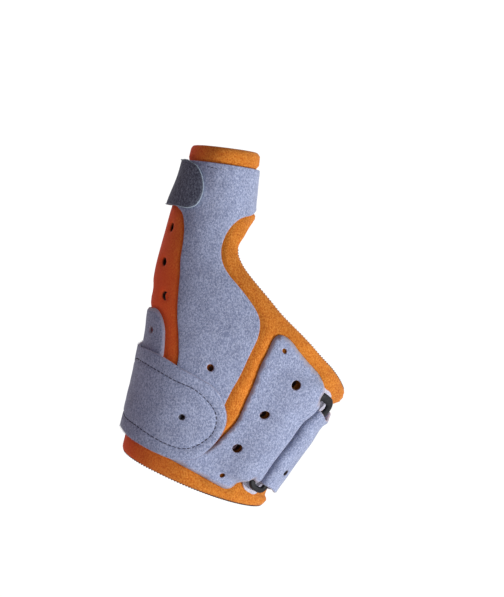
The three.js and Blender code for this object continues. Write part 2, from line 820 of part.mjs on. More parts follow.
function piece(name, geometry, material) {
  const mesh = new THREE.Mesh(geometry, material);
  mesh.name = name;
  return mesh;
}

const splint = new THREE.Group();
const throughVents = sized([...dorsalVents, ...palmarVents, ...windowVents], liningVentSize);
splint.add(
  piece('lining', plainSheet({
    rows: liningEdge,
    holes: [...throughVents, ...sized(shellVents, pinHoleSize)],
    wall: liningWall,
    lift: liningWall / 2,
  }), orange),
  piece('thumb_shell', plainSheet({
    rows: shellEdge,
    holes: sized(shellVents, smallVentSize),
    wall: panelWall,
    lift: panelLift,
  }), grey),
  piece('palmar_panel', plainSheet({
    rows: palmarEdge,
    holes: sized(palmarVents, smallVentSize),
    wall: panelWall,
    lift: panelLift,
  }), grey),
  piece('dorsal_panel', dorsalPanel(), grey),
  piece('ring_backing', ringBacking(), paleGrey),
  piece('strap_ring', strapRing(), black),
  piece('wrist_strap', wristStrap(), grey),
  piece('thumb_tab', thumbTab(), charcoal),
);

export default splint;
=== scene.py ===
import math

import bpy
import numpy as np
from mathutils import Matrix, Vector
from mathutils.geometry import delaunay_2d_cdt
from mathutils.kdtree import KDTree
from numpy.linalg import norm


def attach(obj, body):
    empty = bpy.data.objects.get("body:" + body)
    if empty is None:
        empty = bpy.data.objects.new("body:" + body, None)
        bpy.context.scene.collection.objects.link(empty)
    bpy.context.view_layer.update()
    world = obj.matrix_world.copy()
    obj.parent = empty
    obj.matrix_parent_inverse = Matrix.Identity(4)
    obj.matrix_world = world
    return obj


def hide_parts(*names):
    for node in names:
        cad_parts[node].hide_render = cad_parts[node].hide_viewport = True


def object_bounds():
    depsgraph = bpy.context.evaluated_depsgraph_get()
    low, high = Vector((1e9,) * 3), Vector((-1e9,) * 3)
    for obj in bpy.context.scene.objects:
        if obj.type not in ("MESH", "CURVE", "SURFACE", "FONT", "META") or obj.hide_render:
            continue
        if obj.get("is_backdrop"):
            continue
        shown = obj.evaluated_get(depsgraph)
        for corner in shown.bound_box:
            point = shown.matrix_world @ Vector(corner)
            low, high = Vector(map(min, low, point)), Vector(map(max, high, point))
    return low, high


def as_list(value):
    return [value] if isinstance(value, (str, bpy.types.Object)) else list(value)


# A thumb spica splint for the right hand, in the form that it has when it is worn. Each piece of
# cloth is cut from a flat pattern and laid on the arm. Sizes are in millimetres up to the meshes,
# which are in metres.

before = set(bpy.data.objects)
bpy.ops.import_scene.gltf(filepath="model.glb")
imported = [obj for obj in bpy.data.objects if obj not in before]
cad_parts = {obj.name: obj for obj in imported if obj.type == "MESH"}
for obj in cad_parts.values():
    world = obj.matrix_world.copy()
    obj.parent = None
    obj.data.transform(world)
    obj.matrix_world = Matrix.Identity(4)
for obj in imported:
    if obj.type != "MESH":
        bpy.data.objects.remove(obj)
cad_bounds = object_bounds()

MM = 0.001

# The arm that the splint is cut for, skin to skin
WRIST = {"width": 51.4, "depth": 42.0}
HAND = {"width": 73.8, "depth": 44.0}
THUMB = {"width": 21.0, "depth": 21.2}
SPLINT_HEIGHT = 121.0

# Thickness of each layer of cloth, and the gap that the layers keep
LINING_WALL = 2.0
PANEL_WALL = 1.2
BACKING_WALL = 0.8
STRAP_WALL = 1.4
TAB_WALL = 1.3
CLEARANCE = 0.3

# Strap, tab and ring
STRAP_WIDTH = 38.0
FLAP_WIDTH = 33.0
TAB_WIDTH = 18.0
RING_WIDTH = 10.5
RING_WIRE = 2.6
RING_THICKNESS = 1.6
RING_BEVEL = 0.7
RING_BEVEL_STEPS = 5
RING_STEPS = 14
RING_SIDE_STEPS = 40
RING_ROUND = 0.4
BACKING_MARGIN = 1.7
BACKING_ROUND = 0.42
SLOT_PLAY = 0.8

# Holes through the cloth
VENT_SIZE = 3.3
LINING_VENT_SIZE = 2.9
SMALL_VENT_SIZE = 2.5
PIN_HOLE_SIZE = 1.8

# Places on the arm: turn in degrees round it from the front, along from 0 at the wrist opening to 1
RING_TURN = 49
BACKING_TURN = 51
TAB_MIDDLE = 0.868
ULNAR_EDGE_TURN = 96
PALM_EDGE_TURN = -200
SLIT_TURN = -127
SLIT_GAP = 2
FULL_TURN = 360
SEWN_TURN = PALM_EDGE_TURN + FULL_TURN
CLIMB_TURN = 13
BAR_MARGIN = 1.5

# Where and how far the worn cloth draws in behind the thumb, under the tab
SNUG = {"depth": 0.9, "turn": -95, "spread": 50, "from": 0.56, "full": 0.74}

# Fineness of the cloth, in millimetres and degrees
EDGE_STEP = 0.8
GRID_STEP = 1.15
FOLD_BEND = 8
ROUTE_STEP = 0.05
HOLE_SIDES = 28

# Sections across the arm. Width and depth are shares of the limb's, rise of the splint's height,
# shift of the hand's width, skew and back of the half depth and dip of the half width. Tilt and
# twist are in degrees.
SECTION_NAMES = ("along", "width", "depth", "rise", "shift", "tilt", "skew", "dip", "back", "twist")
SECTIONS = (
    (WRIST, (0.000, 1.000, 1.00, 0.000, 0.000, 22.9, 0.330, 0.130, 0.000, -4.5)),
    (WRIST, (0.053, 1.010, 0.98, 0.044, 0.020, 24.0, 0.360, 0.130, 0.000, -4.5)),
    (WRIST, (0.168, 1.105, 1.00, 0.145, 0.093, 23.4, 0.400, 0.115, 0.000, -3.2)),
    (HAND, (0.267, 0.827, 1.00, 0.232, 0.155, 22.8, 0.430, 0.108, 0.000, 0.5)),
    (HAND, (0.343, 0.877, 1.02, 0.301, 0.204, 21.8, 0.445, 0.093, 0.010, 3.5)),
    (HAND, (0.393, 0.964, 1.02, 0.347, 0.263, 19.8, 0.465, 0.080, 0.020, 1.5)),
    (HAND, (0.465, 1.000, 1.00, 0.434, 0.305, 15.1, 0.455, 0.062, 0.036, 0.0)),
    (HAND, (0.558, 0.851, 0.93, 0.541, 0.252, 12.9, 0.366, 0.050, 0.050, 0.0)),
    (THUMB, (0.650, 1.912, 1.70, 0.657, 0.128, 9.5, 0.222, 0.050, 0.056, 0.0)),
    (THUMB, (0.736, 1.408, 1.46, 0.746, 0.088, 8.6, 0.130, 0.040, 0.040, 0.0)),
    (THUMB, (0.805, 1.244, 1.27, 0.815, 0.095, 7.3, 0.074, 0.023, 0.022, 0.0)),
    (THUMB, (0.888, 1.093, 1.11, 0.893, 0.124, 7.4, 0.034, 0.009, 0.000, 0.0)),
    (THUMB, (1.000, 1.000, 1.00, 1.000, 0.157, 6.6, 0.000, 0.000, 0.000, 0.0)),
)


def stations():
    """The sections as columns of real sizes."""
    share = dict(zip(SECTION_NAMES, np.array([row for _, row in SECTIONS]).T))
    half_width, half_depth = (
        share[side] * np.array([limb[side] for limb, _ in SECTIONS]) / 2 for side in ("width", "depth")
    )
    return {
        "along": share["along"],
        "half_width": half_width,
        "half_depth": half_depth,
        "x": share["shift"] * HAND["width"],
        "y": share["back"] * half_depth,
        "z": share["rise"] * SPLINT_HEIGHT,
        "skew": share["skew"] * half_depth,
        "dip": share["dip"] * half_width,
        "tilt": np.radians(share["tilt"]),
        "twist": np.radians(share["twist"]),
    }


STATIONS = stations()


def hermite(t, start, end, start_slope, end_slope):
    """A curve from start to end as t goes from 0 to 1, with given slopes at its ends."""
    return (
        (1 + 2 * t) * (1 - t) ** 2 * start + t * (1 - t) ** 2 * start_slope
        + t * t * (3 - 2 * t) * end + t * t * (t - 1) * end_slope
    )


def smooth(keys, values, at):
    """A smooth curve through one column of a table, straight beyond its ends."""
    spans = np.diff(keys)
    slopes = np.diff(values) / spans
    inner = (slopes[1:] * spans[:-1] + slopes[:-1] * spans[1:]) / (spans[:-1] + spans[1:])
    tangents = np.concatenate([slopes[:1], inner, slopes[-1:]])
    i = np.clip(np.searchsorted(keys, at) - 1, 0, len(keys) - 2)
    t = (at - keys[i]) / spans[i]
    u = np.clip(t, 0, 1)
    curve = hermite(u, values[i], values[i + 1], spans[i] * tangents[i], spans[i] * tangents[i + 1])
    return curve + (t - u) * spans[i] * np.where(t < 0, tangents[i], tangents[i + 1])


def smoothstep(low, high, value):
    t = np.clip((value - low) / (high - low), 0, 1)
    return t * t * (3 - 2 * t)


def unit(way):
    return way / norm(way, axis=-1, keepdims=True)


def bell(away, spread):
    """A share that falls from 1 with the distance from a middle."""
    return np.exp(-((away / spread) ** 2))


def skin(turn, along):
    """A point of the skin, for arrays of turn and along."""
    turn, along = np.broadcast_arrays(np.asarray(turn, float), np.asarray(along, float))
    at = {name: smooth(STATIONS["along"], STATIONS[name], along) for name in STATIONS if name != "along"}
    angle = np.radians(turn) + at["twist"]
    side = at["half_width"] * np.sin(angle)
    x = at["x"] + side * np.cos(at["tilt"])
    y = at["y"] - at["half_depth"] * np.cos(angle) + at["skew"] * np.sin(angle)
    z = at["z"] - side * np.sin(at["tilt"]) - at["dip"] * np.cos(angle)
    return np.stack([x, y, z], -1)


def outward(turn, along):
    """The skin's outward normal."""
    turn_nudge = 0.05
    along_nudge = 0.001
    round_it = skin(turn + turn_nudge, along) - skin(turn - turn_nudge, along)
    up = skin(turn, along + along_nudge) - skin(turn, along - along_nudge)
    return unit(np.cross(round_it, up))


def snug(turn, along):
    away = (turn - SNUG["turn"]) % FULL_TURN
    away = np.minimum(away, FULL_TURN - away)
    return SNUG["depth"] * bell(away, SNUG["spread"]) * smoothstep(SNUG["from"], SNUG["full"], along)


def on_arm(turn, along, lift):
    """A point of the splint, lifted off the skin along its normal."""
    turn, along = np.asarray(turn, float), np.asarray(along, float)
    height = np.asarray(lift, float) - snug(turn, along)
    return skin(turn, along) + outward(turn, along) * height[..., None]


def scale_at(turn, along):
    """Millimetres on the arm for each degree of turn and for the whole of along."""
    turn, along = np.asarray(turn, float), np.asarray(along, float)
    nudge = 0.004
    lift = LINING_WALL
    round_it = on_arm(turn + 0.5, along, lift) - on_arm(turn - 0.5, along, lift)
    up = (on_arm(turn, along + nudge, lift) - on_arm(turn, along - nudge, lift)) / (2 * nudge)
    return norm(round_it, axis=-1), norm(up, axis=-1)


def reach(turn, along, distance):
    """The along that lies a real distance up or down the arm from a place."""
    steps = 12
    at = np.asarray(along, float) + np.zeros_like(np.asarray(distance, float))
    for _ in range(steps):
        at = at + distance / steps / scale_at(turn, at)[1]
    return at


# The middle of the strap's band, round the arm
STRAP_ROUTE = np.array((
    (38, 0.260),
    (RING_TURN, 0.250),
    (60, 0.240),
    (90, 0.225),
    (150, 0.215),
    (283, 0.208),
    (365, 0.208),
))


def strap_middle(turn):
    return smooth(STRAP_ROUTE[:, 0], STRAP_ROUTE[:, 1], np.asarray(turn, float))


def beside_strap(turn, aside):
    """The along at a real distance above the middle of the strap's band."""
    return reach(turn, strap_middle(turn), aside)


# The flat pattern: across in millimetres as measured at the ring, and up as a share of the height
DEGREE = float(scale_at(RING_TURN, strap_middle(RING_TURN))[0])

# Lifts of the middle of each layer off the skin
PANEL_BASE = LINING_WALL + CLEARANCE
PANEL_LIFT = PANEL_BASE + PANEL_WALL / 2
BACKING_LIFT = PANEL_BASE + BACKING_WALL / 2
OVER_PANELS = PANEL_BASE + PANEL_WALL + CLEARANCE
TAB_LIFT = OVER_PANELS + TAB_WALL / 2
FLAP_LIFT = OVER_PANELS + STRAP_WALL / 2
RING_LIFT = PANEL_BASE + BACKING_WALL + CLEARANCE + STRAP_WALL + CLEARANCE + RING_THICKNESS / 2
TUNNEL_FOLD = RING_THICKNESS / 2 + CLEARANCE + PANEL_WALL / 2
TUNNEL_REACH = RING_WIRE / 2 + CLEARANCE + PANEL_WALL / 2
STRAP_FOLD = RING_THICKNESS / 2 + CLEARANCE + STRAP_WALL / 2
STRAP_REACH = RING_WIRE / 2 + CLEARANCE + STRAP_WALL / 2
INNER_LIFT = PANEL_BASE + STRAP_WALL / 2
OUTER_LIFT = INNER_LIFT + STRAP_WALL + CLEARANCE

# The ring's bars, in degrees of turn
RING_HALF_TURN = RING_WIDTH / 2 / DEGREE
WIRE_TURN = RING_WIRE / DEGREE
NEAR_BAR = {"outer": RING_TURN - RING_HALF_TURN, "inner": RING_TURN - RING_HALF_TURN + WIRE_TURN}
FAR_BAR = {"outer": RING_TURN + RING_HALF_TURN, "inner": RING_TURN + RING_HALF_TURN - WIRE_TURN}
NEAR_MIDDLE = (NEAR_BAR["outer"] + NEAR_BAR["inner"]) / 2
FAR_MIDDLE = (FAR_BAR["outer"] + FAR_BAR["inner"]) / 2
BACKING_EDGE = BACKING_TURN + RING_HALF_TURN + BACKING_MARGIN / DEGREE
RING_LENGTH = STRAP_WIDTH + 2 * SLOT_PLAY + 2 * RING_WIRE


def flat(turn, along):
    """Places on the arm as points of the flat pattern."""
    return np.stack([np.asarray(turn, float) * DEGREE, np.asarray(along, float) * SPLINT_HEIGHT], -1)


def on_pattern(x, y, lift):
    """A point of the flat pattern, laid on the arm at a lift."""
    return on_arm(x / DEGREE, y / SPLINT_HEIGHT, lift)


# Curves on the pattern


def run_along(points):
    """How far along a line each of its points lies."""
    return np.concatenate([[0], np.cumsum(norm(np.diff(points, axis=0), axis=1))])


def point_at(at, run, points):
    """The points of a line at some lengths along it."""
    return np.stack([np.interp(at, run, points[:, k]) for k in range(2)], -1)


def spline(points, spacing):
    """A centripetal curve through points, sampled evenly, without its last point."""
    points = np.asarray(points, float)
    if len(points) == 2:
        fine = np.linspace(*points, 50)
    else:
        p = np.concatenate([[2 * points[0] - points[1]], points, [2 * points[-1] - points[-2]]])
        gap = np.sqrt(norm(np.diff(p, axis=0), axis=1))
        t = np.linspace(0, 1, 24, endpoint=False)[:, None]
        pieces = []
        for i in range(1, len(p) - 2):
            d0, d1, d2 = gap[i - 1:i + 2]
            m1 = d1 * ((p[i] - p[i - 1]) / d0 - (p[i + 1] - p[i - 1]) / (d0 + d1) + (p[i + 1] - p[i]) / d1)
            m2 = d1 * ((p[i + 1] - p[i]) / d1 - (p[i + 2] - p[i]) / (d1 + d2) + (p[i + 2] - p[i + 1]) / d2)
            pieces.append(hermite(t, p[i], p[i + 1], m1, m2))
        fine = np.concatenate([*pieces, points[-1:]])
    length = run_along(fine)
    count = max(2, round(length[-1] / spacing))
    return point_at(np.linspace(0, length[-1], count, endpoint=False), length, fine)


def closed_outline(points, corners, spacing=EDGE_STEP, softening=2):
    """A closed outline through points, smooth except at its corners, which a knife rounds a little."""
    count = len(points)
    stretches = []
    for k, start in enumerate(corners):
        span = (corners[(k + 1) % len(corners)] - start) % count or count
        stretches.append(spline([points[(start + i) % count] for i in range(span + 1)], spacing))
    outline = np.concatenate(stretches)
    for _ in range(softening):
        outline = (np.roll(outline, 1, 0) + 2 * outline + np.roll(outline, -1, 0)) / 4
    return outline


def outline_of(rows):
    """The outline of a table of turn and along, with a third entry at each corner."""
    corners = [i for i, row in enumerate(rows) if len(row) > 2]
    return closed_outline([flat(*row[:2]) for row in rows], corners)


def punched(vents, size, place=flat):
    """Round holes of a real size, as clockwise ellipses on the pattern. place gives their middles."""
    angle = -np.linspace(0, 2 * np.pi, HOLE_SIDES, endpoint=False)
    circle = size / 2 * np.stack([np.cos(angle), np.sin(angle)], 1)
    holes = []
    for turn, along, narrow in vents:
        round_it, up = scale_at(turn, along)
        holes.append(place(turn, along) + circle * np.array([narrow * DEGREE / round_it, SPLINT_HEIGHT / up]))
    return holes


class Route:
    """A path of turn and lift that a strip of cloth follows, in millimetres, as a dense line."""

    def __init__(self, turn, lift):
        self.line = np.array([[turn * DEGREE, lift]])

    def add(self, points):
        self.line = np.concatenate([self.line, points[1:]])

    def level_to(self, turn):
        end = np.array([turn * DEGREE, self.line[-1, 1]])
        count = max(2, math.ceil(norm(end - self.line[-1]) / ROUTE_STEP))
        self.add(np.linspace(self.line[-1], end, count))

    def ease_to(self, turn, lift):
        """Eases from the last lift to another by the time that it reaches a turn."""
        start = self.line[-1]
        end = np.array([turn * DEGREE, lift])
        middle = (start[0] + end[0]) / 2
        t = np.linspace(0, 1, max(2, math.ceil(norm(end - start) / ROUTE_STEP)))[:, None]
        first, second = np.array([middle, start[1]]), np.array([middle, end[1]])
        self.add(
            (1 - t) ** 3 * start + 3 * t * (1 - t) ** 2 * first + 3 * t * t * (1 - t) * second + t ** 3 * end
        )

    def bend_round(self, turn, lift, across, height, start, end):
        """An oval bend round a bar, between two angles in degrees."""
        count = math.ceil(abs(math.radians(end - start)) * across / ROUTE_STEP)
        angle = np.radians(np.linspace(start, end, count))
        middle = np.array([turn * DEGREE, lift])
        self.add(middle + np.stack([across * np.cos(angle), height * np.sin(angle)], 1))

    def finish(self):
        step = norm(np.diff(self.line, axis=0), axis=1)
        self.line = self.line[np.concatenate([[True], step > 1e-9])]
        self.stride = run_along(self.line)
        self.total = self.stride[-1]
        return self

    def at(self, s):
        return point_at(s, self.stride, self.line)

    def heading(self, s):
        nudge = 0.15
        return unit(self.at(np.minimum(s + nudge, self.total)) - self.at(np.maximum(s - nudge, 0)))

    def point(self, turn, along, last_pass=False):
        """The point of the strip's pattern at a place, on the route's first or its last pass."""
        x = turn * DEGREE
        if last_pass:
            stride = self.stride[np.flatnonzero(self.line[:, 0] <= x)[-1]]
        else:
            stride = self.stride[np.flatnonzero(self.line[:, 0] >= x)[0]]
        return np.array([stride, along * SPLINT_HEIGHT])

    def stride_to(self, turn, last_pass=False):
        return self.point(turn, 0, last_pass)[0]

    def columns(self):
        """Strides for the grid: evenly spaced, and closer where the route folds."""
        found = [0.0]
        last = self.heading(np.array([0.0]))[0]
        for s in np.arange(ROUTE_STEP, self.total, 2 * ROUTE_STEP):
            now = self.heading(np.array([s]))[0]
            bend = math.degrees(math.acos(min(1.0, float(now @ last))))
            if bend > FOLD_BEND or s - found[-1] > GRID_STEP:
                found.append(s)
                last = now
        return np.array([*found, self.total])

    def lay(self, s, along, depth):
        middle, way = self.at(s), self.heading(s)
        turn = (middle[:, 0] - way[:, 1] * depth) / DEGREE
        return turn, along, middle[:, 1] + way[:, 0] * depth


# Cutting cloth


def metric(lay, points):
    """The stretch of the pattern where it is laid, as three numbers a point."""
    nudge = 0.04
    x, y = points[:, 0], points[:, 1]
    zero = np.zeros(len(points))
    across = (lay(x + nudge, y, zero) - lay(x - nudge, y, zero)) / (2 * nudge)
    up = (lay(x, y + nudge, zero) - lay(x, y - nudge, zero)) / (2 * nudge)
    return np.stack([(across * across).sum(1), (across * up).sum(1), (up * up).sum(1)], 1)


def measure(g, u, v):
    """The product of two directions on the pattern, in real millimetres squared."""
    return (
        g[..., 0] * u[..., 0] * v[..., 0]
        + g[..., 1] * (u[..., 0] * v[..., 1] + u[..., 1] * v[..., 0])
        + g[..., 2] * u[..., 1] * v[..., 1]
    )


# How many of the nearest pieces of a line are measured
NEAREST_PIECES = 14


def distance(points, stretch, loops, closed=True):
    """Real distance of points of the pattern from lines on it."""
    starts = np.concatenate([loop if closed else loop[:-1] for loop in loops])
    ends = np.concatenate([np.roll(loop, -1, 0) if closed else loop[1:] for loop in loops])
    tree = KDTree(len(starts))
    for i, (x, y) in enumerate((starts + ends) / 2):
        tree.insert((x, y, 0), i)
    tree.balance()
    candidates = min(NEAREST_PIECES, len(starts))
    near = np.array([[found[1] for found in tree.find_n((x, y, 0), candidates)] for x, y in points])
    g = stretch[:, None]
    edge = (ends - starts)[near]
    away = starts[near] - points[:, None]
    t = np.clip(-measure(g, away, edge) / np.maximum(measure(g, edge, edge), 1e-12), 0, 1)
    gap = away + t[..., None] * edge
    return np.sqrt(np.maximum(measure(g, gap, gap).min(1), 0))


def inside(points, loop):
    """True for points of the pattern inside a closed outline."""
    result = np.zeros(len(points), bool)
    a, b = loop, np.roll(loop, -1, 0)
    chunk = 4000
    for i in range(0, len(points), chunk):
        x, y = points[i:i + chunk, 0, None], points[i:i + chunk, 1, None]
        spans = (a[:, 1] > y) != (b[:, 1] > y)
        rise = np.where(b[:, 1] == a[:, 1], 1, b[:, 1] - a[:, 1])
        cross = a[:, 0] + (y - a[:, 1]) * (b[:, 0] - a[:, 0]) / rise
        result[i:i + chunk] = ((x < cross) & spans).sum(1) % 2 == 1
    return result


def inset(loop, lay, depth, closed=True):
    """A line moved a real distance to its left."""
    g = metric(lay, loop)
    if closed:
        way = np.roll(loop, -1, 0) - np.roll(loop, 1, 0)
    else:
        way = np.gradient(loop, axis=0)
    left = np.stack([-way[:, 1], way[:, 0]], 1)
    scale = g[:, 0] * g[:, 2] - g[:, 1] ** 2
    aside = np.stack([
        (g[:, 2] * left[:, 0] - g[:, 1] * left[:, 1]) / scale,
        (g[:, 0] * left[:, 1] - g[:, 1] * left[:, 0]) / scale,
    ], 1)
    return loop + depth * aside / np.sqrt(measure(g, aside, aside))[:, None]


# The points that are laid along an edge, as shares of its rounding, and along a crease, in millimetres
EDGE_RINGS = (0.13, 0.5, 1.0)
RIM_BAND = 0.26
CREASE_LINES = (-1.1, -0.5, 0, 0.5, 1.1)

# How near an edge or a crease the other points come
EDGE_NEAR = 0.1
EDGE_ROOM = 0.45
CREASE_ROOM = 1.4

CREASE_DEPTH = 0.45
CREASE_WIDTH = 0.6
# How far the painted shade round a spot fades out, in millimetres
SPOT_EDGE = (0.05, 0.4)

# The side of the splint where the orange is painted redder, as painted shade: the light on that side is
# dimmer and redder
RED_SHADE_SIDE = {"turn": -82, "spread": 46, "share": 0.9}


def cut_cloth(name, outline, holes, place, wall, columns, rounding, creases=(), shape=None, spots=()):
    """Cuts a sheet to its outline and holes and lays it on the arm as one closed mesh.

    place takes strides, alongs and depths to turn, along and lift. shape gives the depth that is
    added to the two faces at each point of the pattern. The outer face sinks along the creases, and
    the cloth is painted dark inside the spots and just round them, as painted shade.
    """
    def lay(x, y, depth):
        return on_arm(*place(x, y / SPLINT_HEIGHT, depth))

    low, high = outline.min(0), outline.max(0)
    half = np.diff(columns, append=columns[-1] + 1) / 2
    grid = np.concatenate([
        np.stack([columns + (half if i % 2 else 0), np.full(len(columns), y)], 1)
        for i, y in enumerate(np.arange(low[1], high[1] + GRID_STEP, GRID_STEP))
    ])
    grid = grid[inside(grid, outline)]
    loops = [outline, *holes]
    rings = [inset(loop, lay, rounding * share) for share in EDGE_RINGS for loop in loops]
    rings += [inset(loop, lay, RIM_BAND) for loop in loops]
    rings += [inset(line, lay, aside, closed=False) for line in creases for aside in CREASE_LINES]
    points = np.concatenate([*rings, grid])
    points = points[inside(points, outline)]
    stretch = metric(lay, points)
    edge = distance(points, stretch, loops)
    for hole in holes:
        edge[inside(points, hole)] = 0
    to_crease = np.full(len(points), np.inf)
    if creases:
        to_crease = distance(points, stretch, creases, closed=False)
    crowded = (edge < rounding + EDGE_ROOM) | (to_crease < CREASE_ROOM)
    crowded[:-len(grid)] = False
    keep = (edge > EDGE_NEAR * rounding) & ~crowded
    points, edge, to_crease = points[keep], edge[keep], to_crease[keep]

    # The outline and the holes come first, so that their numbers are known
    border = np.concatenate(loops)
    edges = []
    for loop in loops:
        start = len(edges)
        edges += [(start + i, start + (i + 1) % len(loop)) for i in range(len(loop))]
    everything = [Vector(p) for p in np.concatenate([border, points])]
    flat_points, _, faces, origins, _, _ = delaunay_2d_cdt(everything, edges, [], 0, 1e-5)
    flat_points = np.array([tuple(p) for p in flat_points])
    source = np.array([found[0] if found else -1 for found in origins])
    edge = np.concatenate([np.zeros(len(border)), edge, [0]])[source]
    to_crease = np.concatenate([np.full(len(border), np.inf), to_crease, [np.inf]])[source]
    on_border = source < len(border)

    # Faces that join border points only may lie in a hole or outside the outline
    faces = np.array(faces)
    doubtful = np.flatnonzero(on_border[faces].all(1))
    middle = flat_points[faces[doubtful]].mean(1)
    stray = ~inside(middle, outline)
    for hole in holes:
        stray |= inside(middle, hole)
    used, faces = np.unique(np.delete(faces, doubtful[stray], 0), return_inverse=True)
    faces = faces.reshape(-1, 3)
    flat_points, edge, to_crease, on_border = (v[used] for v in (flat_points, edge, to_crease, on_border))

    x, y = flat_points.T
    swell = wall / 2 * np.sqrt(1 - (1 - np.clip(edge / rounding, 0, 1)) ** 2)
    over, under = shape(flat_points, edge) if shape else (0, 0)
    top = lay(x, y, swell + over - CREASE_DEPTH * bell(to_crease, CREASE_WIDTH))
    bottom = lay(x, y, -swell + under)[~on_border]
    below = np.arange(len(x))
    below[~on_border] = len(x) + np.arange(len(bottom))
    triangles = np.concatenate([faces, below[faces][:, ::-1]])
    # Painted shade: the cloth is painted dark inside the spots and just round them, where the holes look into
    # shade
    dark = np.zeros(len(x))
    if spots:
        dark = 1 - smoothstep(*SPOT_EDGE, distance(flat_points, metric(lay, flat_points), spots))
        for spot in spots:
            dark[inside(flat_points, spot)] = 1
    # Beside the pale cut edge, these carry painted shade: dark in the spots, and a redder tone on the
    # lining's dim side
    looks = {
        "rim": 1 - smoothstep(0.0, RIM_BAND, edge),
        "dark": dark,
        "red_shade": bell(x / DEGREE - RED_SHADE_SIDE["turn"], RED_SHADE_SIDE["spread"]),
    }
    looks = {key: np.concatenate([values, values[~on_border]]) for key, values in looks.items()}
    piece = mesh_piece(name, np.concatenate([top, bottom]) * MM, triangles.tolist(), looks)
    a, b, c = lay(x, y, np.zeros(len(x)))[faces].transpose(1, 0, 2)
    piece["cut_area"] = float(norm(np.cross(b - a, c - a), axis=1).sum() / 2) * MM * MM
    piece["cut_size"] = flat_size(outline, lay)
    return piece


def flat_size(outline, lay):
    """The real width and length of the rectangle that a piece is cut from."""
    rows, columns = 40, 400
    low, high = outline.min(0), outline.max(0)
    size = []
    for k in range(2):
        longest = 0
        for level in np.linspace(low[1 - k], high[1 - k], rows)[1:-1]:
            line = np.full((columns, 2), level)
            line[:, k] = np.linspace(low[k], high[k], columns)
            line = line[inside(line, outline)]
            if len(line) > 1:
                longest = max(longest, run_along(lay(*line.T, np.zeros(len(line))))[-1])
        size.append(float(longest) * MM)
    return size


def add_object(name, data):
    made = bpy.data.objects.new(name, data)
    bpy.context.scene.collection.objects.link(made)
    return made


def mesh_piece(name, vertices, faces, attributes=None, smooth=True):
    mesh = bpy.data.meshes.new(name)
    mesh.from_pydata(vertices.tolist(), [], faces)
    for key, values in (attributes or {}).items():
        mesh.attributes.new(key, "FLOAT", "POINT").data.foreach_set("value", values)
    if smooth:
        mesh.shade_smooth()
    piece = add_object(name, mesh)
    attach(piece, "root")
    return piece


def plain_sheet(name, outline, holes, wall, lift, rounding, **more):
    """Cuts a sheet that lies at one lift."""
    def place(x, along, depth):
        return x / DEGREE, along, lift + depth

    columns = np.arange(outline[:, 0].min() - GRID_STEP, outline[:, 0].max() + GRID_STEP, GRID_STEP)
    return cut_cloth(name, outline, holes, place, wall, columns, rounding, **more)


# The patterns: rows of turn and along, with CORNER where the outline has a corner

CORNER = "corner"
WING_TURN = SLIT_TURN + FULL_TURN - SLIT_GAP
LINING_EDGE = (
    (PALM_EDGE_TURN, 0, CORNER), (ULNAR_EDGE_TURN, 0, CORNER),
    (ULNAR_EDGE_TURN, 0.34, CORNER), (91, 0.385), (80, 0.409), (67, 0.424), (52, 0.446),
    (39, 0.472), (24, 0.540), (21, 0.590), (24, 0.652), (27, 0.680), (34, 0.705),
    (50, 0.735), (68, 0.765), (90, 0.780), (115, 0.765), (150, 0.700), (185, 0.635),
    (215, 0.600), (WING_TURN, 0.590, CORNER), (WING_TURN, 1, CORNER),
    (SLIT_TURN, 1, CORNER), (SLIT_TURN, 0.560, CORNER), (-150, 0.520), (-175, 0.460),
    (PALM_EDGE_TURN, 0.390, CORNER),
)
SHELL_EDGE = (
    (SLIT_TURN + 6, 0.947, CORNER), (SLIT_TURN + 6, 0.830, CORNER), (-90, 0.825),
    (-68, 0.808), (-51, 0.793), (-39, 0.773), (-34, 0.740), (-34.5, 0.694),
    (-42, 0.616), (-47, 0.554), (-49, 0.476), (-46, 0.400), (-44, 0.346),
    (-44, 0.140, CORNER), (-12, 0.140, CORNER), (-4, 0.170), (-1.5, 0.216), (-5, 0.330),
    (-3.5, 0.420), (1.5, 0.480), (4.5, 0.530), (1.5, 0.586), (0, 0.620), (5, 0.674),
    (20, 0.740), (40, 0.784), (69, 0.801), (92, 0.815), (118, 0.800), (150, 0.745),
    (180, 0.690), (WING_TURN - 7, 0.640, CORNER), (WING_TURN - 7, 0.947, CORNER),
)
PALMAR_EDGE = (
    (PALM_EDGE_TURN, 0.066, CORNER), (PALM_EDGE_TURN, 0.335, CORNER), (-175, 0.405),
    (-150, 0.450), (-120, 0.465), (-95, 0.465), (-77, 0.468), (-70, 0.472),
    (-64.5, 0.463), (-59.5, 0.436), (-57.5, 0.400), (-56.5, 0.348), (-53, 0.200),
    (-52, 0.066, CORNER),
)
DORSAL_EDGE = (
    (-22, 0.064, CORNER), (-22, 0.100, CORNER), (-5, 0.115), (4, 0.150), (8, 0.214),
    (9, 0.258), (6, 0.332), (4, 0.408), (6.5, 0.446), (10, 0.479), (14.5, 0.492),
    (19, 0.488), (24.5, 0.466), (32, 0.446), (41, 0.430), (43.5, 0.422), (42.5, 0.408),
    (41.5, 0.400, CORNER),
)
LOBE_EDGE = (
    (38, 0.112, CORNER), (35.5, 0.074), (32.5, 0.048), (28, 0.038), (21, 0.042),
    (4.5, 0.054),
)
# The end of the flap, with side as a share of half its width from the middle of the band
FLAP_END = (
    (305, 0.97), (320, 0.92), (334, 0.89), (342, 0.86), (348.5, 0.77), (355, 0.59),
    (360.5, 0.38), (364, 0.12), (364.5, -0.20), (361.5, -0.57), (355.5, -0.82),
    (346, -0.97), (328, -1.01), (305, -1.0),
)
TAB_END = (
    (-190, -0.95, CORNER), (-190, 0.95, CORNER), (-80, 1), (-53, 0.99), (-44, 0.90),
    (-34, 0.79), (-24, 0.47), (-17.5, 0.03), (-15.3, -0.40), (-18, -0.76), (-23, -0.93),
    (-32, -1.03), (-46, -1), (-80, -0.95),
)

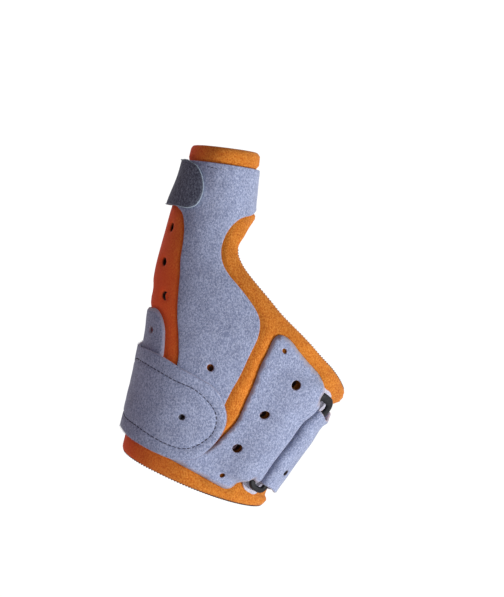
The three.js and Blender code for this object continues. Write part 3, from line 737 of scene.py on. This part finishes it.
# Holes: turn, along, and how narrow the hole has been pulled
DORSAL_VENTS = ((25.5, 0.402, 1), (21, 0.302, 1), (19.5, 0.178, 1))
DORSAL_PIN_HOLES = ((16, 0.458, 1), (21, 0.082, 1))
SHELL_VENTS = ((-22.5, 0.370, 1),)
PALMAR_VENTS = ((-73.5, 0.404, 1),)
WINDOW_VENTS = ((-62, 0.732, 0.8), (-66, 0.622, 0.8), (-62.5, 0.518, 0.9), (-89, 0.530, 0.8))
STRAP_HOLE = (62, 0.158, 1)
FLAP_HOLE = (FULL_TURN - 23.5, 0.204, 1)


# Materials


def colour(red, green, blue):
    """A colour given as 0 to 255, as the shader takes it."""
    def linear(value):
        value /= 255
        return value / 12.92 if value <= 0.04045 else ((value + 0.055) / 1.055) ** 2.4
    return (linear(red), linear(green), linear(blue), 1.0)


# The dark brown that is painted in and under the holes, as painted shade
PAINTED_SHADE = colour(34, 17, 14)
WHITE = (1, 1, 1, 1)


class Tree:
    """The nodes of a new material or of the world."""

    def __init__(self, owner):
        owner.use_nodes = True
        self.owner = owner
        self.nodes, self.links = owner.node_tree.nodes, owner.node_tree.links
        self.place = self.nodes.new("ShaderNodeTexCoord").outputs

    def feed(self, node, values):
        """Sets a node's inputs, by a link where the value is another node's output."""
        for key, value in values.items():
            if isinstance(value, bpy.types.NodeSocket):
                self.links.new(value, node.inputs[key])
            else:
                node.inputs[key].default_value = value

    def noise(self, size, detail=2.0, roughness=0.6, stretch=(1, 1, 1)):
        """Noise whose lumps are about size metres across."""
        mapping = self.nodes.new("ShaderNodeMapping")
        self.feed(mapping, {"Scale": tuple(s / size for s in stretch), "Vector": self.place["Object"]})
        texture = self.nodes.new("ShaderNodeTexNoise")
        values = {"Scale": 1.0, "Detail": detail, "Roughness": roughness, "Vector": mapping.outputs["Vector"]}
        self.feed(texture, values)
        return texture.outputs["Fac"]

    def ramp(self, value, *stops):
        node = self.nodes.new("ShaderNodeValToRGB")
        elements = node.color_ramp.elements
        while len(elements) < len(stops):
            elements.new(0.5)
        for element, (position, tone) in zip(elements, stops):
            element.position = position
            element.color = tone
        self.feed(node, {"Fac": value})
        return node.outputs["Color"]

    def mix(self, factor, first, second, blend="MIX"):
        node = self.nodes.new("ShaderNodeMix")
        node.data_type = "RGBA"
        node.blend_type = blend
        self.feed(node, {"Factor": factor, "A": first, "B": second})
        return node.outputs["Result"]

    def surface(self, roughness, **values):
        self.feed(self.nodes["Principled BSDF"], {"Roughness": roughness, **values})
        return self.owner

    def relief(self, height, strength, depth):
        bump = self.nodes.new("ShaderNodeBump")
        self.feed(bump, {"Strength": strength, "Distance": depth, "Height": height})
        return bump.outputs["Normal"]


def brushed_cloth(name, dark, base, light, rim, pile=0.00055, bump=0.5, sheen=0.25, fleck=None, red_shade=None):
    """Cloth with a short brushed pile: mottled tufts, a soft sheen and a pale cut edge, with painted shade in
    and under its holes and, where a redder tone is given, a painted redder shade.
    """
    tree = Tree(bpy.data.materials.new(name))
    tufts = tree.noise(pile, detail=2.5, roughness=0.7, stretch=(1, 1, 0.75))
    tone = tree.ramp(tufts, (0.33, dark), (0.50, base), (0.66, light))
    patches = tree.noise(0.007, detail=3.0)
    shade = tree.ramp(patches, (0.30, (0.86, 0.86, 0.87, 1)), (0.70, (1.08, 1.08, 1.07, 1)))
    tone = tree.mix(1.0, tone, shade, "MULTIPLY")
    if fleck:
        specks = tree.noise(0.00028, detail=1.0)
        tone = tree.mix(tree.ramp(specks, (0.62, (0, 0, 0, 1)), (0.72, WHITE)), tone, fleck)
    # Painted over the tone: the lining's painted redder shade on its dim side, the pale cut edge, and painted
    # shade in and under the holes
    layers = [("rim", rim), ("dark", PAINTED_SHADE)]
    if red_shade:
        layers.insert(0, ("red_shade", tree.mix(RED_SHADE_SIDE["share"], tone, red_shade)))
    for attribute, shade in layers:
        found = tree.nodes.new("ShaderNodeAttribute")
        found.attribute_name = attribute
        tone = tree.mix(found.outputs["Fac"], tone, shade)
    return tree.surface(0.95, **{
        "Base Color": tone, "Normal": tree.relief(tufts, bump, 0.00025), "Sheen Weight": sheen,
        "Sheen Roughness": 0.55, "Specular IOR Level": 0.15,
    })


def grained(name, tone, light, size, detail, stops, roughness, specular, bump):
    """A fine two-toned grain, for thread and plastic."""
    tree = Tree(bpy.data.materials.new(name))
    grain = tree.noise(size, detail=detail)
    return tree.surface(roughness, **{
        "Base Color": tree.ramp(grain, (stops[0], tone), (stops[1], light)),
        "Normal": tree.relief(grain, bump, 0.0001), "Specular IOR Level": specular,
    })


def thread_material(name, tone, light):
    return grained(name, tone, light, 0.00025, 2.0, (0.35, 0.65), 0.7, 0.5, 0.4)


PALE_EDGE = colour(184, 174, 190)
# The lining's last tone is its painted redder shade, for its dim left side
ORANGE = brushed_cloth(
    "orange_lining", colour(180, 89, 27), colour(209, 124, 39), colour(227, 149, 64), colour(190, 98, 35),
    pile=0.0005, bump=0.35, sheen=0.06, red_shade=colour(255, 90, 50),
)
GREY = brushed_cloth(
    "grey_pile", colour(114, 125, 156), colour(147, 157, 188), colour(182, 191, 217), PALE_EDGE,
    fleck=colour(204, 210, 230),
)
PALE_GREY = brushed_cloth(
    "pale_backing", colour(184, 182, 200), colour(202, 200, 216), colour(218, 217, 229), PALE_EDGE,
    bump=0.3,
)
CHARCOAL = brushed_cloth(
    "charcoal_hooks", colour(66, 71, 88), colour(94, 100, 118), colour(136, 145, 162), colour(170, 184, 198),
    pile=0.0006, bump=0.8, sheen=0.1, fleck=colour(134, 142, 156),
)
THREAD = thread_material("navy_thread", colour(44, 46, 66), colour(74, 76, 100))
TAB_FIBRE = thread_material("tab_fibre", colour(128, 146, 158), colour(176, 192, 202))
STRAP_FIBRE = thread_material("strap_fibre", colour(150, 158, 186), colour(186, 194, 216))
DARK_THREAD = thread_material("brown_thread", colour(48, 26, 22), colour(88, 48, 34))
BLACK = grained(
    "black_plastic", colour(18, 19, 22), colour(36, 37, 41), 0.0006, 3.0, (0.4, 0.75), 0.46, 0.3, 0.15,
)


def dress(piece, material, slot, *nodes):
    piece.data.materials.append(material)
    if nodes:
        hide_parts(*nodes)
    return piece


# Soft shape that no pattern holds: slow waves in the lift of a layer, alike on both faces


SLOW_WAVE = {"size": 17, "height": 0.09}
FINE_WAVE = {"size": 6, "height": 0.05}

# How far the lining puffs up where nothing covers it, and over what distance it does so
PUFF = {"behind": 0.5, "more in front": 0.5}
PUFF_FRONT = (-30, 0)
PUFF_FROM_COVER = (0.1, 1.7)
PUFF_FROM_EDGE = (0.0, 1.6)

# The strap over the lining, on the back of the hand and on the palm side: turns and margin
STRAP_ON_BACK = (34, 168, 3.0)
STRAP_ON_PALM = (150, 240, 0.0)

# How far each sheet is rounded at its cut edges
ROUNDING = {"lining": 0.5, "panel": 0.4, "backing": 0.4, "strap": 0.7, "tab": 0.55}


def drape(points, size, height):
    """A slow uneven wave over the pattern, size millimetres long."""
    x, y = points.T / size
    wave = (
        np.sin(5.1 * x + 1.9 * y + 0.7)
        + np.sin(-2.3 * x + 5.7 * y + 2.1)
        + 0.7 * np.sin(7.9 * x - 6.1 * y + 4.0)
    )
    return height * wave / 2.7


# The lining

SHELL_OUTLINE = outline_of(SHELL_EDGE)
PALMAR_OUTLINE = outline_of(PALMAR_EDGE)
LINING_OUTLINE = outline_of(LINING_EDGE)


def strap_band(first_turn, last_turn, margin):
    """The outline of the strap's band on the pattern."""
    turns = np.linspace(first_turn, last_turn, 40)
    lower, upper = (flat(turns, beside_strap(turns, side * (STRAP_WIDTH / 2 + margin))) for side in (-1, 1))
    return np.concatenate([lower, upper[::-1]])


def lining_covers():
    """The parts of the lining that another piece lies on."""
    dorsal = outline_of((*DORSAL_EDGE, *LOBE_EDGE))
    covers = [SHELL_OUTLINE, PALMAR_OUTLINE, dorsal, strap_band(*STRAP_ON_BACK)]
    turn_back = np.array([FULL_TURN * DEGREE, 0])
    return [*covers, SHELL_OUTLINE - turn_back, strap_band(*STRAP_ON_PALM) - turn_back]


def lining():
    covers = lining_covers()

    def shape(points, edge):
        """The two faces puff up between the covers, more so in front."""
        stretch = metric(lambda x, y, d: on_pattern(x, y, LINING_WALL + d), points)
        away = distance(points, stretch, covers)
        for cover in covers:
            away[inside(points, cover)] = 0
        height = PUFF["behind"] + PUFF["more in front"] * smoothstep(*PUFF_FRONT, points[:, 0] / DEGREE)
        over = height * smoothstep(*PUFF_FROM_COVER, away) * smoothstep(*PUFF_FROM_EDGE, edge)
        wave = drape(points, **SLOW_WAVE)
        return over + wave, wave

    # The lining is painted dark, as painted shade, on the walls of its own vents and where it shows under the
    # panels' vents and the shell's vent
    open_vents = punched((*PALMAR_VENTS, *WINDOW_VENTS), LINING_VENT_SIZE)
    covered_vents = punched(DORSAL_VENTS, SMALL_VENT_SIZE)
    shaded = [*punched(DORSAL_VENTS, VENT_SIZE), *punched(SHELL_VENTS, SMALL_VENT_SIZE)]
    piece = plain_sheet(
        "lining_cloth", LINING_OUTLINE, [*covered_vents, *open_vents], LINING_WALL, LINING_WALL / 2,
        ROUNDING["lining"], shape=shape, spots=[*open_vents, *shaded],
    )
    return dress(piece, ORANGE, "lining_cloth", "lining")


# The grey panels


def ripple(points, edge):
    wave = drape(points, **SLOW_WAVE) + drape(points, **FINE_WAVE)
    return wave, wave


def plain_panel(node, outline, vents, **more):
    """A grey panel that lies on the lining."""
    piece = plain_sheet(
        f"{node}_cloth", outline, punched(vents, SMALL_VENT_SIZE), PANEL_WALL, PANEL_LIFT, ROUNDING["panel"],
        shape=ripple, **more,
    )
    return dress(piece, GREY, "panel_cloth", node)


def thumb_shell():
    turn, along, narrow = FLAP_HOLE
    # The shell is painted dark under the flap's pin hole, as painted shade at the bottom of that hole
    under_flap = punched([(turn - FULL_TURN, along, narrow)], PIN_HOLE_SIZE)
    return plain_panel("thumb_shell", SHELL_OUTLINE, SHELL_VENTS, spots=under_flap)


def band_edge(route, strides, side, width):
    """Points of the pattern on one edge of a band that follows the strap's middle."""
    turns = route.at(strides)[:, 0] / DEGREE
    return np.stack([strides, beside_strap(turns, side * width / 2) * SPLINT_HEIGHT], 1)


DORSAL_START = -30
DORSAL_CLIMB = 2.4 * CLIMB_TURN
TUNNEL_TUCK = 2
TUNNEL_POINTS = 8
TUNNEL_LOW = {"clear": 0.070, "full": 0.104}
TUNNEL_HIGH = {"full": 0.404, "clear": 0.430}


def dorsal_panel():
    """Its end runs over the ring's near bar and folds back under it, as a tunnel for the ring."""
    route = Route(DORSAL_START, PANEL_LIFT)
    route.level_to(NEAR_BAR["outer"] - DORSAL_CLIMB)
    route.ease_to(NEAR_MIDDLE, RING_LIFT + TUNNEL_FOLD)
    route.bend_round(NEAR_MIDDLE, RING_LIFT, TUNNEL_REACH, TUNNEL_FOLD, 90, -90)
    route.level_to(NEAR_BAR["outer"] - TUNNEL_TUCK)
    route.finish()

    def place(s, along, depth):
        turn, _, lift = route.lay(s, along, depth)
        raised = smoothstep(TUNNEL_LOW["clear"], TUNNEL_LOW["full"], along)
        raised = raised * (1 - smoothstep(TUNNEL_HIGH["full"], TUNNEL_HIGH["clear"], along))
        return turn, along, (1 - raised) * (PANEL_LIFT + depth) + raised * lift

    strides = np.linspace(route.stride_to(NEAR_MIDDLE), route.total, TUNNEL_POINTS)
    upper = band_edge(route, strides, 1, STRAP_WIDTH)
    lower = band_edge(route, strides[::-1], -1, STRAP_WIDTH)
    front, lobe = ([route.point(*row[:2]) for row in rows] for rows in (DORSAL_EDGE, LOBE_EDGE))
    points = [*front, *upper, *lower, *lobe]
    first, after, last = (len(front) + count * TUNNEL_POINTS for count in range(3))
    outline = closed_outline(points, [0, 1, first - 1, first, after - 1, after, last - 1, last])
    holes = punched(DORSAL_VENTS, VENT_SIZE, route.point)
    holes += punched(DORSAL_PIN_HOLES, PIN_HOLE_SIZE, route.point)
    piece = cut_cloth(
        "dorsal_panel_cloth", outline, holes, place, PANEL_WALL, route.columns(), ROUNDING["panel"],
        shape=ripple,
    )
    return dress(piece, GREY, "panel_cloth", "dorsal_panel")


# The strap

NARROWING = (200, 292)
SEWN_PASS = {"start": 12, "rise": -5, "foot": -20}
TOP_PASS = {"foot": -22, "rise": -8, "settle": 14, "settled": 42}
STRAP_DESCENT = 2.2 * CLIMB_TURN
STRAP_POINTS = 60
FLAP_OVERRUN = 10

# Turns below this are those of the flap, one full turn on
FLAP_START = 10

# Where the strap's edges draw in: turn, how far round, and how deep
SLOT_GATHER = (FAR_MIDDLE, 9, 1.1)
SLOT_DIP = (68, 15, 2.0)
FLAP_DIP = (262, 28, 2.0)
FLAP_RISE = (266, 26, 1.2)

# The oval of stitches that holds the hooks under the flap
FLAP_STITCH = (
    (-102, 0.205), (-97, 0.262), (-86, 0.296), (-73, 0.302), (-53.5, 0.300),
    (-39, 0.296), (-26.5, 0.296), (-17, 0.284), (-7, 0.258), (-2.5, 0.228), (-1, 0.186),
    (-6, 0.138), (-12.5, 0.114), (-23, 0.104), (-37, 0.104), (-54, 0.110), (-74, 0.112),
    (-90, 0.122), (-99, 0.152),
)


def strap_route():
    """From the palmar panel's edge, under and round the ring's far bar, and back over itself."""
    route = Route(SEWN_TURN + SEWN_PASS["start"], FLAP_LIFT)
    route.level_to(SEWN_TURN + SEWN_PASS["rise"])
    route.ease_to(SEWN_TURN + SEWN_PASS["foot"], INNER_LIFT)
    route.level_to(BACKING_EDGE + CLIMB_TURN)
    route.ease_to(BACKING_EDGE + BAR_MARGIN, RING_LIFT - STRAP_FOLD)
    route.level_to(FAR_MIDDLE)
    route.bend_round(FAR_MIDDLE, RING_LIFT, STRAP_REACH, STRAP_FOLD, -90, -270)
    route.ease_to(FAR_BAR["outer"] + STRAP_DESCENT, OUTER_LIFT)
    route.level_to(SEWN_TURN + TOP_PASS["foot"])
    route.ease_to(SEWN_TURN + TOP_PASS["rise"], FLAP_LIFT + STRAP_WALL + CLEARANCE)
    route.level_to(SEWN_TURN + TOP_PASS["settle"])
    route.ease_to(SEWN_TURN + TOP_PASS["settled"], FLAP_LIFT)
    route.level_to(FULL_TURN + FLAP_OVERRUN)
    return route.finish()


def wrist_strap():
    route = strap_route()
    narrow_from, narrow_to = (route.stride_to(turn, True) for turn in NARROWING)
    strides = np.linspace(0, narrow_to, STRAP_POINTS)
    turns = route.at(strides)[:, 0] / DEGREE

    def width(*dips):
        full = STRAP_WIDTH + (FLAP_WIDTH - STRAP_WIDTH) * smoothstep(narrow_from, narrow_to, strides)
        return full - 2 * sum(depth * bell(turns - turn, spread) for turn, spread, depth in dips)

    def on_strap(turn, along):
        return route.point(turn + FULL_TURN if turn < FLAP_START else turn, along, True)

    upper = band_edge(route, strides, 1, width(SLOT_GATHER, SLOT_DIP, FLAP_DIP))
    lower = band_edge(route, strides[::-1], -1, width(SLOT_GATHER, FLAP_RISE)[::-1])
    end = []
    for turn, side in FLAP_END:
        end.append(route.point(turn, float(beside_strap(turn, side * FLAP_WIDTH / 2)), True))
    points = [*upper, *end, *lower]
    outline = closed_outline(points, [0, len(points) - 1])[::-1]
    stitches = spline([on_strap(*row) for row in (*FLAP_STITCH, FLAP_STITCH[0])], EDGE_STEP)
    holes = punched((FLAP_HOLE, STRAP_HOLE), PIN_HOLE_SIZE, on_strap)
    # The strap is painted dark round its holes, as painted shade in them
    piece = cut_cloth(
        "wrist_strap_cloth", outline, holes, route.lay, STRAP_WALL, route.columns(), ROUNDING["strap"],
        creases=[np.concatenate([stitches, stitches[:1]])], shape=ripple, spots=holes,
    )
    dress(piece, GREY, "strap_cloth", "wrist_strap")

    def lay(x, y, depth):
        return on_arm(*route.lay(x, y / SPLINT_HEIGHT, depth))

    flap_from = route.stride_to(SEWN_TURN + TOP_PASS["settled"], True)
    return piece, (outline[outline[:, 0] > flap_from], lay)


# The hook tab that closes the thumb, and how far it is pressed into the pile

TAB_PRESS = 0.25


def thumb_tab():
    rows = []
    for turn, side, *corner in TAB_END:
        rows.append((turn, float(reach(turn, TAB_MIDDLE, side * TAB_WIDTH / 2)), *corner))
    outline = outline_of(rows)[::-1]
    lift = TAB_LIFT - TAB_PRESS
    piece = plain_sheet("thumb_tab_hooks", outline, [], TAB_WALL, lift, ROUNDING["tab"])
    dress(piece, CHARCOAL, "hook_tape", "thumb_tab")
    return piece, (outline, lambda x, y, depth: on_pattern(x, y, lift + depth))


# The plastic ring and the patch under it


def rounded(width, length, radius, steps, straight=()):
    """A rounded rectangle from its right side on, as rows of x, y and the outward way."""
    rows = []
    for start, sign in ((0, 1), (np.pi, -1)):
        rows += [(sign * width / 2, sign * up, sign, 0.0) for up in straight]
        for quarter in (0, 1):
            x = sign * (1 - 2 * quarter) * (width / 2 - radius)
            for angle in start + np.pi / 2 * quarter + np.linspace(0, np.pi / 2, steps):
                way = math.cos(angle), math.sin(angle)
                rows.append((x + radius * way[0], sign * (length / 2 - radius) + radius * way[1], *way))
    return np.array(rows)


def ring_line(width, length, radius, middle_turn):
    """A rounded rectangle at the ring, on the pattern, without the points that coincide."""
    side = length / 2 - radius
    rows = rounded(width, length, radius, RING_STEPS, np.linspace(-side, side, RING_SIDE_STEPS)[1:-1])
    rows[:, 0] += middle_turn * DEGREE
    return rows[norm(rows[:, :2] - np.roll(rows[:, :2], 1, 0), axis=1) > 0.02]


def ring_place(across, up):
    turn = across / DEGREE
    return turn, beside_strap(turn, up)


def ring_backing():
    width = RING_WIDTH + 2 * BACKING_MARGIN
    line = ring_line(width, RING_LENGTH + 2 * BACKING_MARGIN, width * BACKING_ROUND, BACKING_TURN)
    outline = flat(*ring_place(line[:, 0], line[:, 1]))
    piece = plain_sheet(
        "ring_backing_cloth", outline, [], BACKING_WALL, BACKING_LIFT, ROUNDING["backing"],
    )
    return dress(piece, PALE_GREY, "backing_cloth", "ring_backing")


def strap_ring():
    corner = RING_WIDTH * RING_ROUND - RING_WIRE / 2
    line = ring_line(RING_WIDTH - RING_WIRE, RING_LENGTH - RING_WIRE, corner, RING_TURN)
    section = rounded(RING_WIRE, RING_THICKNESS, RING_BEVEL, RING_BEVEL_STEPS)
    across = line[:, 0, None] + line[:, 2, None] * section[None, :, 0]
    up = line[:, 1, None] + line[:, 3, None] * section[None, :, 0]
    turn, along = ring_place(across.ravel(), up.ravel())
    lift = np.tile(RING_LIFT + section[:, 1], len(line))
    points = on_arm(turn, along, lift) * MM
    rows, count = len(line), len(section)
    i, j = np.meshgrid(np.arange(rows), np.arange(count), indexing="ij")
    here, aside = i * count + j, i * count + (j + 1) % count
    ahead, ahead_aside = (i + 1) % rows * count + j, (i + 1) % rows * count + (j + 1) % count
    faces = np.stack([here, ahead, ahead_aside, aside], -1).reshape(-1, 4)
    piece = mesh_piece("ring_moulding", points, faces.tolist())
    return dress(piece, BLACK, "ring_plastic", "strap_ring")


# Stitches


def tubes(lines, radius, sides):
    """Thin threads along lines in millimetres, of as many points each, in one mesh with round ends."""
    angles = np.linspace(0, 2 * np.pi, sides, endpoint=False)[:, None]
    vertices, faces = [], []
    for line in lines:
        way = unit(np.gradient(line, axis=0))
        across = unit(np.cross(way, THREAD_GUIDE))
        up = np.cross(way, across)
        share = np.linspace(-1, 1, len(line))
        swell = radius * (np.sqrt(np.clip(1 - share ** 6, 0, 1)) * 0.9 + 0.1)
        aside = across[:, None] * np.cos(angles) + up[:, None] * np.sin(angles)
        start = len(line) * sides * len(vertices)
        vertices.append(line[:, None] + aside * swell[:, None, None])
        here = start + np.arange((len(line) - 1) * sides)
        ahead = here + np.where(here % sides == sides - 1, 1 - sides, 1)
        faces += np.stack([here, ahead, ahead + sides, here + sides], 1).tolist()
        end = start + (len(line) - 1) * sides
        faces += [list(range(start + sides - 1, start - 1, -1)), list(range(end, end + sides))]
    return np.concatenate(vertices).reshape(-1, 3) * MM, faces


def thread_piece(name, lines, radius, material, slot, sides=6, smooth=True):
    vertices, faces = tubes(lines, radius, sides)
    return dress(mesh_piece(name, vertices, faces, smooth=smooth), material, slot)


UNEVEN = np.random.default_rng(7)
THREAD_GUIDE = np.array([0.31, 0.87, 0.38])
STITCH_RADIUS = {"flap": 0.2, "shell": 0.14, "hem": 0.17}
FIBRE_RADIUS = 0.045
HEM_PITCH = 1.15

# A stitch that wraps the hem, from its outside to its inside: depth from the edge, and lift
HEM_STITCH = np.array(((0.75, -0.04), (0.35, -0.04), (0.02, 0.3), (-0.1, 1.0), (0.0, 1.75), (0.4, 2.12)))


def stitch_lines(line, lift, pitch, length, sag):
    """Running stitches along a line of the pattern, sunk at their ends."""
    run = run_along(on_pattern(*line.T, lift))
    share = np.linspace(0, 1, 7)
    lines = []
    for start in np.arange(0, run[-1] - length, pitch):
        start += UNEVEN.uniform(-0.12, 0.12)
        at = start + share * length * UNEVEN.uniform(0.9, 1.05)
        lines.append(on_pattern(*point_at(at, run, line).T, lift - sag * (2 * share - 1) ** 2))
    return lines


def flap_stitches():
    line = spline([flat(*row) for row in (*FLAP_STITCH, FLAP_STITCH[0])], 0.3)
    lines = stitch_lines(line, FLAP_LIFT + STRAP_WALL / 2 - 0.34, pitch=1.8, length=1.5, sag=0.16)
    return thread_piece("flap_stitches", lines, STITCH_RADIUS["flap"], THREAD, "strap_cloth")


def shell_stitches():
    line = flat(np.linspace(-20, 10, 40), np.linspace(0.931, 0.928, 40))
    lines = stitch_lines(line, PANEL_LIFT + PANEL_WALL / 2, pitch=1.5, length=1.15, sag=0.12)
    return thread_piece("shell_stitches", lines, STITCH_RADIUS["shell"], THREAD, "panel_cloth")


def hem_stitches():
    """Overcasting that wraps the lining's edge at the hand and at the wrist."""
    turns, alongs = LINING_OUTLINE[:, 0] / DEGREE, LINING_OUTLINE[:, 1] / SPLINT_HEIGHT
    hand = (turns > 20) & (turns < 95) & (alongs > 0.35) & (alongs < 0.70)
    wrist = (alongs < 0.004) & (turns < 94) & (turns > -198)
    lines = []
    for chosen in (hand, wrist):
        edge = LINING_OUTLINE[chosen]
        run = run_along(on_pattern(*edge.T, LINING_WALL / 2))
        for start in np.arange(0.5, run[-1] - 0.5, HEM_PITCH):
            middle, ahead = point_at(np.array([start, start + 0.3]), run, edge)
            way = unit(ahead - middle)
            left = np.array([-way[1], way[0]])
            shear = np.linspace(-0.3, 0.3, len(HEM_STITCH))[:, None] * way
            spots = middle + left * HEM_STITCH[:, :1] + shear
            lines.append(on_pattern(*spots.T, HEM_STITCH[:, 1]))
    return thread_piece("hem_stitches", lines, STITCH_RADIUS["hem"], DARK_THREAD, "lining_cloth")


def fuzz(name, piece_edge, spacing, length, material, slot):
    """Short loose fibres that stand out of a cut edge."""
    outline, lay = piece_edge
    lines = []
    for start, end in zip(outline, np.roll(outline, -1, 0)):
        way = end - start
        run = norm(way)
        left = np.array([-way[1], way[0]]) / max(run, 1e-9)
        for _ in range(max(1, round(run / spacing))):
            root = start + way * UNEVEN.uniform() + left * 0.15
            tip = root - left * length * UNEVEN.uniform(0.5, 1.2)
            tip = tip + way / run * length * UNEVEN.uniform(-0.7, 0.7)
            middle = (root + tip) / 2 + UNEVEN.uniform(-0.15, 0.15, 2)
            rise = UNEVEN.uniform(0.1, 0.6) + np.array([0, 0.25, UNEVEN.uniform(0.1, 0.6)])
            lines.append(lay(*np.array([root, middle, tip]).T, rise))
    return thread_piece(name, lines, FIBRE_RADIUS, material, slot, sides=3, smooth=False)


# Camera and light. The photograph's frame is 504 by 597 pixels, and its camera looks along +Y.

PHOTO_HEIGHT = 597
PIXEL = 0.37 * MM
CAMERA_DISTANCE = 1.2
VIEW_CENTRE = Vector((21.8 * MM, 0, 65.7 * MM))
LEFT_SKY = (0.150, 0.074, 0.088, 1)
RIGHT_SKY = (0.42, 0.44, 0.48, 1)
BACK_SKY = (1.05, 1.05, 1.05, 1)
LAMP_SPREAD = 50
FLOOR = {"z": -0.5, "radius": 1.9, "sides": 96}


def add_camera():
    data = bpy.data.cameras.new("camera")
    data.sensor_fit = "VERTICAL"
    data.sensor_height = 24
    data.lens = data.sensor_height * CAMERA_DISTANCE / (PHOTO_HEIGHT * PIXEL)
    data.clip_end = 20
    camera = add_object("camera", data)
    camera.location = VIEW_CENTRE - Vector((0, CAMERA_DISTANCE, 0))
    camera.rotation_euler = (math.pi / 2, 0, 0)
    bpy.context.scene.camera = camera


def add_light(name, place, size, power):
    data = bpy.data.lights.new(name, "AREA")
    data.shape = "DISK"
    data.size = size
    data.energy = power
    data.spread = math.radians(LAMP_SPREAD)
    light = add_object(name, data)
    light.location = place
    light.rotation_euler = (VIEW_CENTRE - Vector(place)).to_track_quat("-Z", "Y").to_euler()


def add_floor():
    """A round pale floor, well under the splint."""
    angles = np.linspace(0, 2 * math.pi, FLOOR["sides"], endpoint=False)
    rim = FLOOR["radius"] * np.cos(angles), FLOOR["radius"] * np.sin(angles), np.full(len(angles), FLOOR["z"])
    mesh = bpy.data.meshes.new("floor")
    mesh.from_pydata(np.stack(rim, 1).tolist(), [], [range(len(angles))])
    values = {"Base Color": (0.8, 0.8, 0.8, 1), "Emission Color": WHITE, "Emission Strength": 0.2}
    mesh.materials.append(Tree(bpy.data.materials.new("pale_floor")).surface(0.9, **values))
    add_object("floor", mesh)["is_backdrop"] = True


def add_world():
    """A sky that lights the splint from behind and from the right, and looks white from everywhere."""
    world = bpy.data.worlds.new("studio")
    tree = Tree(world)
    split = tree.nodes.new("ShaderNodeSeparateXYZ")
    tree.feed(split, {"Vector": tree.place["Generated"]})

    def step(axis, low, high):
        node = tree.nodes.new("ShaderNodeMapRange")
        node.interpolation_type = "SMOOTHSTEP"
        tree.feed(node, {"From Min": low, "From Max": high, "Value": split.outputs[axis]})
        return node.outputs["Result"]

    front = tree.mix(step("X", -0.8, 0.8), LEFT_SKY, RIGHT_SKY)
    sky = tree.mix(step("Y", 0.2, 0.8), front, BACK_SKY)
    seen = tree.nodes.new("ShaderNodeLightPath").outputs["Is Camera Ray"]
    tree.feed(tree.nodes["Background"], {"Color": tree.mix(seen, sky, BACK_SKY)})
    bpy.context.scene.world = world


add_camera()
add_world()
add_floor()
add_light("key", (0.86, -0.46, -0.34), 0.3, 0.62)
add_light("fill", (0.45, -0.9, -0.2), 0.5, 0.15)
bpy.context.scene.view_settings.view_transform = "Standard"

strap, strap_edge = wrist_strap()
tab, tab_edge = thumb_tab()
sheets = [
    lining(), thumb_shell(), plain_panel("palmar_panel", PALMAR_OUTLINE, PALMAR_VENTS), dorsal_panel(),
    ring_backing(), strap, tab,
]
strap_ring()
flap_stitches()
shell_stitches()
hem_stitches()
fuzz("tab_fibres", tab_edge, 0.14, 0.28, TAB_FIBRE, "hook_tape")
fuzz("strap_fibres", strap_edge, 0.3, 0.25, STRAP_FIBRE, "strap_cloth")
carried_by = {
    "lining_cloth": ["wrist_strap_cloth"],
    "thumb_shell_cloth": ["lining_cloth"],
    "palmar_panel_cloth": ["lining_cloth"],
    "dorsal_panel_cloth": ["lining_cloth", "ring_moulding"],
    "ring_backing_cloth": ["lining_cloth"],
    "wrist_strap_cloth": ["palmar_panel_cloth", "ring_moulding"],
    "thumb_tab_hooks": ["thumb_shell_cloth"],
}
for sheet in sheets:
    size = [max(0.01, side) for side in sheet["cut_size"]]
    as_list(carried_by[sheet.name])

box = [[[float(v) for v in corner] for corner in bounds] for bounds in (cad_bounds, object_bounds())]
